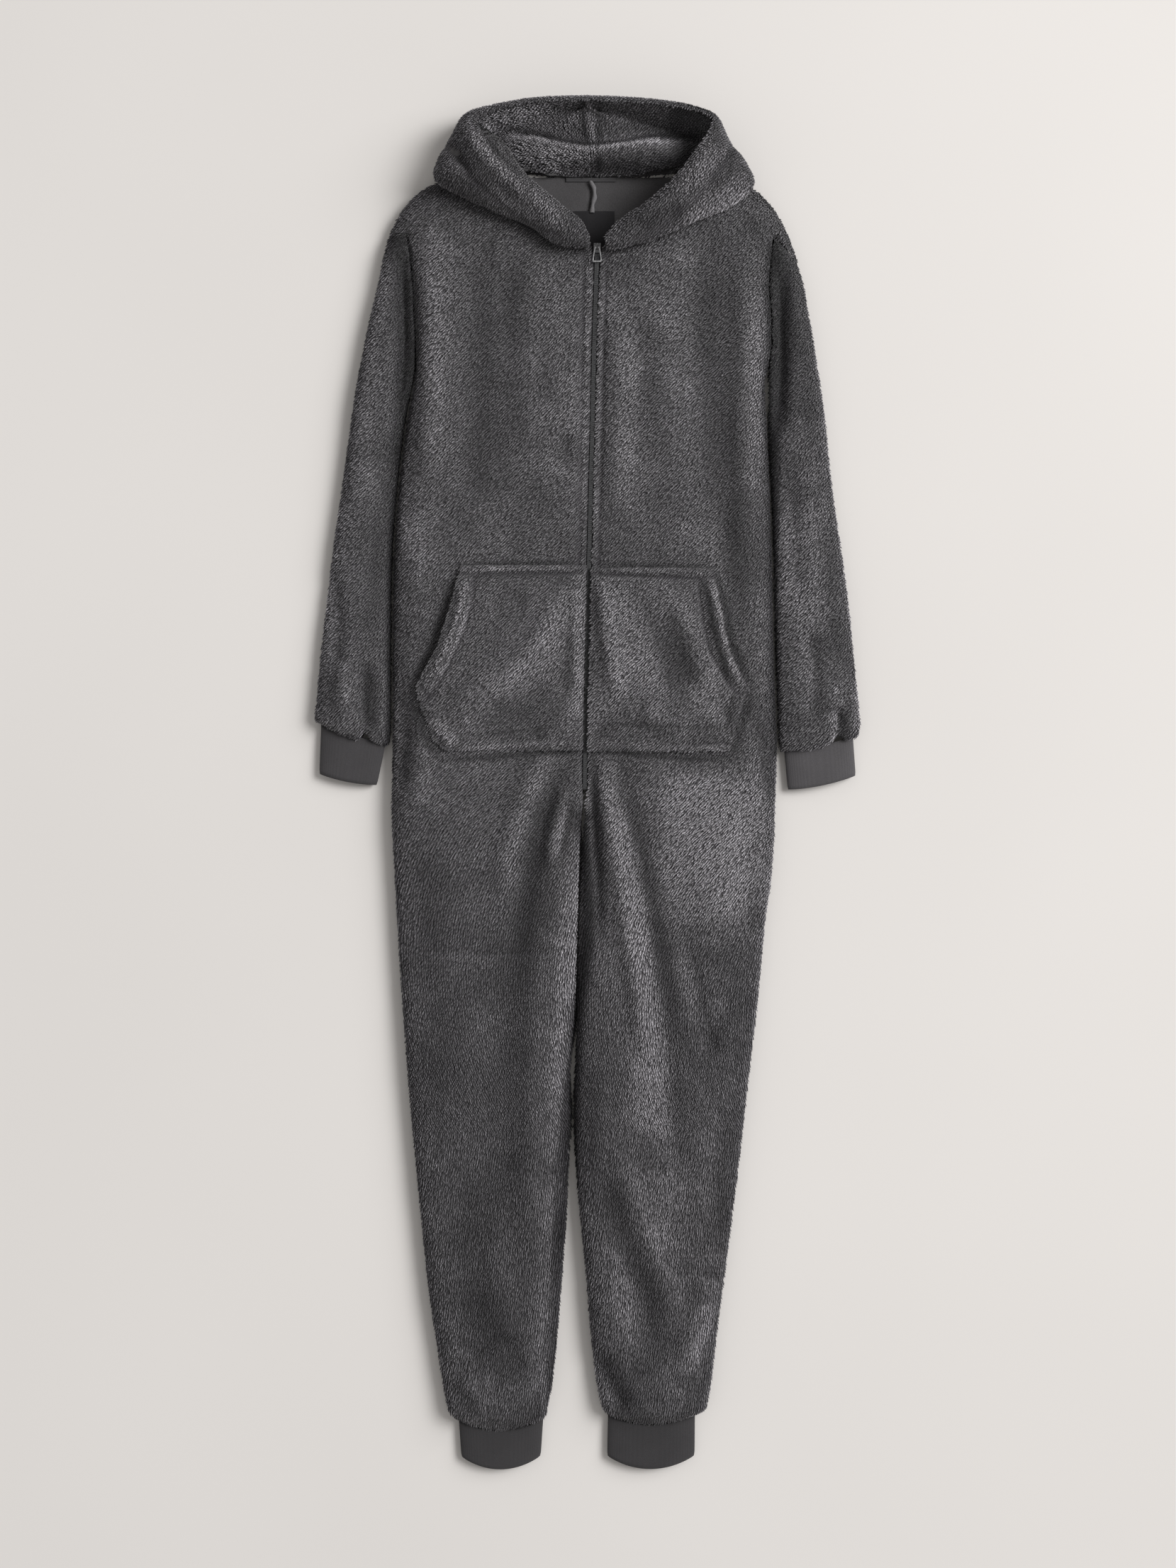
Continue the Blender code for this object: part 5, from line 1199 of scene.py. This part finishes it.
def rim_faces(rows, cols, wrap=False):
    """Quads that close a shell's two faces along its borders."""
    layer = rows * cols
    if wrap:
        ring = np.arange(cols + 1) % cols
        loops = [ring, ((rows - 1) * cols + ring)[::-1]]
    else:
        top = np.arange(cols)
        right = np.arange(rows) * cols + cols - 1
        bottom = (rows - 1) * cols + np.arange(cols)[::-1]
        left = np.arange(rows)[::-1] * cols
        loops = [np.concatenate([top, right[1:], bottom[1:], left[1:]])]
    return np.concatenate([np.stack([loop[1:], loop[:-1], loop[:-1] + layer, loop[1:] + layer],
                                    axis=1) for loop in loops])


def add_shell(name, outer, inner, mats, wrap=False):
    """A thin cloth shell: outer face, inner face and edges."""
    rows, cols = outer.shape[:2]
    points = np.concatenate([outer.reshape(-1, 3), inner.reshape(-1, 3)])
    outside = grid_faces(rows, cols, wrap=wrap)
    inside = grid_faces(rows, cols, rows * cols, True, wrap)
    rim = rim_faces(rows, cols, wrap)
    faces = np.concatenate([outside, inside, rim])
    kinds = np.repeat([0, 1, 0], [len(outside), len(inside), len(rim)])
    # The outer face takes the pile's dark root tone, painted shade beneath the tufts.
    tone = np.repeat([0.22, 0.4], rows * cols)
    return add_mesh(name, points, faces, mats, kinds, tone)


# ---------------------------------------------------------------- pile
def place_tufts(grid, normals, every, weight, seed):
    """Evenly strewn places on a grid, closer where weight is high: points and normals."""
    turn = np.random.default_rng(seed)
    a = grid[1:, :-1] - grid[:-1, :-1]
    b = grid[:-1, 1:] - grid[:-1, :-1]
    area = np.linalg.norm(np.cross(a, b), axis=2) * weight[:-1, :-1]
    sums = np.cumsum(area.reshape(-1))
    count = int(sums[-1] / every)
    pick = (np.arange(count) + turn.uniform(0.0, 1.0, count)) / count * sums[-1]
    cell = np.minimum(np.searchsorted(sums, pick), area.size - 1)
    r, c = np.divmod(cell, area.shape[1])
    u, v = turn.uniform(0.0, 1.0, (2, count, 1))

    def at(field):
        return ((1 - u) * (1 - v) * field[r, c] + (1 - u) * v * field[r, c + 1]
                + u * (1 - v) * field[r + 1, c] + u * v * field[r + 1, c + 1])
    return at(grid), at(normals)


def unit(vectors):
    """Vectors made one long."""
    return vectors / np.maximum(np.linalg.norm(vectors, axis=-1, keepdims=True), 1e-9)


def add_pile(name, grid, normals, style, seed, shape, tone_by):
    """Tufts of pile all over a grid, as one piece."""
    facing = np.clip(0.5 + 2.0 * normals[..., 2], 0.0, 1.0)
    weight = HIDDEN_WEIGHT + (1.0 - HIDDEN_WEIGHT) * facing
    points, n = place_tufts(grid, normals, style["every"], weight, seed)
    n = unit(n)
    x, y = points[:, 0], points[:, 1]
    turn = np.random.default_rng(seed + 1)
    count = len(points)
    yaw = turn.normal(0.0, style["spread"], count) + 0.08 * waves(x, y, 46.0, seed + 2)
    c, s = np.cos(yaw)[:, None], np.sin(yaw)[:, None]
    nap = style["nap"](x, y)
    nap = unit(nap - n * np.einsum("ij,ij->i", nap, n)[:, None])
    side = np.cross(n, nap)
    nap, side = nap * c + side * s, side * c - nap * s
    hidden = np.clip(0.5 - 2.0 * n[:, 2], 0.0, 1.0)
    flat, tone = shape(points), tone_by(points)
    length = style["length"] * turn.uniform(0.7, 1.35, count) * (1.0 + 0.4 * hidden)
    width = style["width"] * turn.uniform(0.75, 1.3, count) * (1.0 + 0.6 * hidden)
    height = style["height"] * turn.uniform(0.55, 1.4, count) * flat
    shade = np.clip(turn.normal(1.0, 0.11, count), 0.3, 1.9) * tone * (0.66 + 0.34 * flat)
    pts = points[:, None] + sum(
        axis[:, None] * np.outer(size, TUFT[:, k])[..., None]
        for k, (axis, size) in enumerate(((nap, length), (side, width), (n, height))))
    pts[..., 2] = np.maximum(pts[..., 2], LOWEST)
    calm = 0.4 * leg_share(y)[:, None]
    plain = TUFT[:, 3]
    tones = np.clip((plain + (CALM_TONE - plain) * calm) * shade[:, None], 0.0, 1.0)
    faces = TUFT_FACES[None] + np.arange(count)[:, None, None] * len(TUFT)
    made = add_mesh(name, pts.reshape(-1, 3), faces.reshape(-1, 3), [PILE],
                    tone=tones.reshape(-1), smooth=False)
    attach(made, ROOT_BODY)
    return made


def leg_nap(x, y):
    """Diagonal on the torso, turning to straight down the legs."""
    angle = LEAN - (LEAN - LEG_LEAN) * leg_share(y) + 0.09 * waves(x, y, 240.0, 5)
    return np.stack([-np.sin(angle), -np.cos(angle), np.zeros_like(x)], axis=1)


def hood_nap(x, y):
    """Down and to the side over the outside of the hood, wandering a little."""
    turn = 0.2 * waves(x, y, 220.0, 5)
    c, s = np.cos(turn), np.sin(turn)
    return np.stack([-0.42 * c + 0.9 * s, -0.42 * s - 0.9 * c, np.zeros_like(x)], axis=1)


def lining_nap(x, y):
    """Out from the middle of the neck, inside the hood."""
    return np.stack([x - 3.0, y - 700.0, np.zeros_like(x)], axis=1)


# Pile: mm2 to a tuft, its length, width and height in mm, how much tufts differ in
# direction, and the way they lie.
TORSO = {"every": 3.2, "length": 5.6, "width": 1.9, "height": 2.3, "spread": 0.10, "nap": leg_nap}
ARM = dict(TORSO, every=3.3)
UNDER = dict(TORSO, every=4.3)
HOOD_OUTSIDE = dict(TORSO, height=2.2, length=4.6, spread=0.22, nap=hood_nap)
HOOD_INSIDE = dict(HOOD_OUTSIDE, length=5.6, nap=lining_nap)


def edge_fade(count):
    """0 at both borders, 1 inside."""
    place = np.minimum(np.arange(count), np.arange(count)[::-1])
    return np.clip(place / 3.0, 0.0, 1.0)


def add_fleece(node, grid, style, seed, grooves=(), folds=FOLDS, light_and_shade=(),
               mirror=1.0, share=1.0, turned=False, tone_by=None):
    """A fleece piece: its shell and its pile."""
    sense = outward_sense(grid) * (-1.0 if turned else 1.0)
    x, y = grid[..., 0], grid[..., 1]
    normals = grid_normals(grid) * sense
    upward = np.clip(normals[..., 2], 0.0, 1.0)
    lift = fold_height(x, y, folds, mirror) * share * upward
    lift += 0.9 * waves(x, y, 130.0, seed) * upward
    lift *= np.minimum(*np.meshgrid(edge_fade(grid.shape[1]), edge_fade(grid.shape[0])))
    cut = groove_depth(x, y, grooves) * upward
    face = grid - normals * (BASE_INSET - lift + cut)[..., None]
    face[..., 2] = np.maximum(face[..., 2], SHELL_FLOOR)
    normals = grid_normals(face) * sense
    inner = face - normals * SHELL_WALL
    inner[..., 2] = np.maximum(inner[..., 2], np.minimum(face[..., 2], SHELL_FLOOR))
    shell = add_shell("fleece_" + node, face, inner, [PILE, INSIDE])
    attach(shell, ROOT_BODY)
    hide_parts(node)

    def shape(points):
        deep = groove_depth(points[:, 0], points[:, 1], grooves)
        return np.clip(1.0 - deep * 0.5, 0.25, 1.0)

    def tone(points):
        plain = patch_tone(points, seed) * relief_tone(points, folds, mirror, share)
        plain = plain * painted_light_and_shade(points, light_and_shade, mirror)
        return plain if tone_by is None else plain * tone_by(points)
    made = dict(style, every=style["every"] * QUICK_EVERY)
    pile = add_pile("pile_" + node, face, normals, made, seed, shape, tone)


# ---------------------------------------------------------------- building
def build_body():
    """Front and back panels and sleeves; gives the front panels' grids."""
    fronts = {}
    for seed, side in ((100, "left"), (200, "right")):
        front = body_rows(side, front_section, True)
        back = fill_leg_gap(body_rows(side, back_section, False), side)
        sleeve = lobed(refine(sleeve_rows(side, front, back)), side)
        fronts[side] = refine(front)
        add_fleece("back_" + side, refine(back), UNDER, seed, light_and_shade=BODY_LIGHT_AND_SHADE,
                   mirror=-1.0, share=0.6, tone_by=back_tone)
        add_fleece("front_" + side, fronts[side], TORSO, seed + 10,
                   GROOVES, light_and_shade=BODY_LIGHT_AND_SHADE, tone_by=body_tone)
        add_fleece("sleeve_" + side, sleeve, ARM, seed + 20, folds=SLEEVE_FOLDS,
                   light_and_shade=SLEEVE_LIGHT_AND_SHADE, tone_by=sleeve_tone)
    return fronts


def build_hood():
    """Outer cloth and lining of both halves of the hood."""
    for seed, side in ((300, "left"), (400, "right")):
        outer = np.array([hood_section(side, k) for k in range(len(HOOD_LEVELS))])
        add_fleece("hood_" + side, refine(outer), HOOD_OUTSIDE, seed,
                   GROOVES, HOOD_FOLDS, HOOD_LIGHT_AND_SHADE)
        add_fleece("hood_lining_" + side, refine(lining_rows(outer)), HOOD_INSIDE, seed + 10,
                   folds=(), light_and_shade=LINING_LIGHT_AND_SHADE, turned=True,
                   tone_by=hood_tone)


def front_heights(grid, x, y):
    """Heights of a panel above plan points on one line."""
    line = grid[int(np.argmin(np.abs(grid[:, 0, 1] - y)))]
    order = np.argsort(line[:, 0])
    return np.interp(x, line[order, 0], line[order, 2])


def build_pockets(fronts):
    """Both halves of the pocket."""
    for seed, side in ((500, "left"), (510, "right")):
        ys, edges = np.array(POCKETS[side], dtype=float)
        fine = np.linspace(ys[0], ys[-1], POCKET_ROWS)
        edges, gapes = (np.interp(-fine, -ys, v) for v in (edges, filled(POCKET_GAPE, len(ys))))
        rows = []
        for k, (y, edge, gape) in enumerate(zip(fine, edges, gapes)):
            start = zip_centre(y) + SIGN[side] * POCKET_ZIP_GAP
            sewn = math.sin(math.pi * k / (POCKET_ROWS - 1))
            u = np.linspace(0.0, 1.0, POCKET_COLUMNS)
            x = start + (edge - start) * u
            puff = POCKET_PUFF * np.minimum(1.0, POCKET_BULGE * np.sin(math.pi * u) * sewn)
            loft = np.maximum(POCKET_LOFT * gape * u ** 2, puff)
            base = front_heights(fronts[side], x, y)
            rows.append(np.column_stack([x, np.full(len(x), y),
                                         base + POCKET_LIFT + FLEECE_WALL + loft]))
        grid = np.array(rows)
        if grid_normals(grid)[..., 2].mean() < 0.0:
            grid = grid[:, ::-1]
        add_fleece("pocket_" + side, grid, TORSO, seed,
                   POCKET_GROOVES, POCKET_FOLDS, POCKET_LIGHT_AND_SHADE)


def build_cuffs():
    """Rib cuffs with raised wales."""
    along = np.linspace(0.0, 1.0, CUFF_ROWS)
    for name in CUFFS:
        count = CUFF_TURNS[name.split("_")[0]]
        turns = np.linspace(0.0, 2.0 * math.pi, count, endpoint=False)
        grid = np.array([cuff_points(name, share, turns) for share in along])
        normals = grid_normals(grid, True) * outward_sense(grid, True)
        wales = 0.5 + 0.5 * np.cos(np.arange(count) * math.pi * 2.0 / WALE_POINTS)
        end = np.clip((1.0 - along) * 8.0, 0.0, 1.0) ** 0.5
        depth = 0.25 + 0.16 * (1.0 - wales)[None, :] + 0.6 * (1.0 - end)[:, None]
        face = grid - normals * depth[..., None]
        face[..., 2] = np.maximum(face[..., 2], LOWEST)
        inner = face - normals * CUFF_WALL
        shell = add_shell("rib_" + name, face, inner, [RIB[name], RIB[name]], wrap=True)
        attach(shell, ROOT_BODY)
        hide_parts(name)


def refinish():
    """Gives the carried zip and neck parts their finishes."""
    for node, material in CARRIED.items():
        made = bpy.data.objects[node]
        made.data.materials.clear()
        made.data.materials.append(material)


def cad_top(node):
    """Tops of a carried node along the garment: y and z in mm, y rising."""
    made = bpy.data.objects[node]
    points = np.array([made.matrix_world @ v.co for v in made.data.vertices]) / MM
    places = np.unique(np.round(points[:, 1], 1))
    tops = np.array([points[np.abs(points[:, 1] - y) < 0.3, 2].max() for y in places])
    return places, tops


def build_coil():
    """The closed coil: a cord with interlocked turns to both sides."""
    ys = np.arange(SLIDER_CENTRE_Y - SLIDER_HALF, ZIP_END_Y, -COIL_PITCH / 2)
    heights = np.interp(ys, *cad_top("zip_coil"))
    points, faces = [], []
    for k, (y, z) in enumerate(zip(ys, heights)):
        side = 1.0 if k % 2 else -1.0
        x = zip_centre(y)
        near, far = x - side * 0.9, x + side * COIL_HALF_WIDTH
        base = len(points)
        for px, half, low, high in ((near, 0.40, 0.2, 1.5), (far, 0.60, 0.0, 0.9)):
            points += [(px, y - half, z + low), (px, y + half, z + low), (px, y, z + high)]
        faces += [tuple(base + corner for corner in face) for face in COIL_TURN_FACES]
    made = add_mesh("zip_turns", np.array(points), faces, [COIL], smooth=False)
    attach(made, ROOT_BODY)


def build_seam_ridge():
    """The folded seam allowance at the back neck, a narrow curved ridge."""
    line = line_of(*SEAM_RIDGE)
    ys = np.linspace(line[0, 1], line[-1, 1], 20)
    xs = np.interp(-ys, -line[:, 1], line[:, 0])
    turns = np.linspace(0.0, math.pi, 7)
    half = 2.6 + 0.5 * np.sin(ys * 0.4)
    floor = cad_top("back_seam_allowance")[1].min()
    points = np.array([[(x + h * math.cos(t), y, floor - 0.5 + 2.6 * math.sin(t)) for t in turns]
                       for x, y, h in zip(xs, ys, half)])
    made = add_mesh("seam_ridge", points.reshape(-1, 3),
                    grid_faces(len(ys), len(turns), flip=True), [SEAM])
    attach(made, ROOT_BODY)
    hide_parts("back_seam_allowance")


def stage():
    """Pale floor, soft light from the upper right, and the room's own light."""
    mat, tree, shader = new_material("floor", {"Roughness": 0.95, "Metallic": 0.0,
                                               "Specular IOR Level": 0.1})
    finish_shader(tree, shader, ramp(tree, noise(tree, 1.2, 2.0), (0.3, (0.706, 0.680, 0.656)),
                                     (0.7, (0.734, 0.708, 0.684))))
    bpy.ops.mesh.primitive_plane_add(size=16.0, location=(0.0, 0.0, 0.0))
    floor = bpy.context.object
    floor.name = "floor"
    floor.data.materials.append(mat)
    world = bpy.data.worlds.new("studio")
    bpy.context.scene.world = world
    world.use_nodes = True
    set_inputs(world.node_tree.nodes["Background"], {"Color": WORLD_TINT,
                                                     "Strength": WORLD_LIGHT})
    lamp = bpy.data.lights.new("side_light", "AREA")
    lamp.shape = "DISK"
    lamp.size = LAMP_SIZE
    lamp.energy = LAMP_POWER
    made = add_object("side_light", lamp)
    made.location = LAMP_PLACE
    away = -np.array(LAMP_PLACE)
    made.rotation_euler = (math.acos(-away[2] / np.linalg.norm(away)), 0.0,
                           math.atan2(-away[0], away[1]))
    sun = bpy.data.lights.new("sun", "SUN")
    sun.energy = SUN_POWER
    sun.angle = math.radians(SUN_WIDTH)
    tilt, turn = (math.radians(a) for a in SUN_ANGLES)
    add_object("sun", sun).rotation_euler = (tilt, 0.0, turn + math.pi)


def place_camera():
    """The camera straight above, so that the drawing's height fills the picture."""
    camera = bpy.data.cameras.new("camera")
    half = DRAWING_HEIGHT * PX * MM / 2.0
    camera.lens = camera.sensor_width / 2.0 * (CAMERA_HEIGHT - CLOTH_LEVEL) / half
    made = add_object("camera", camera)
    x, y = plan(DRAWING_WIDTH / 2.0, DRAWING_HEIGHT / 2.0)
    made.location = (x * MM, y * MM, CAMERA_HEIGHT)
    bpy.context.scene.camera = made
    bpy.context.scene.view_settings.view_transform = "Standard"


stage()
place_camera()
FRONTS = build_body()
build_hood()
build_pockets(FRONTS)
build_cuffs()

refinish()
build_coil()
build_seam_ridge()
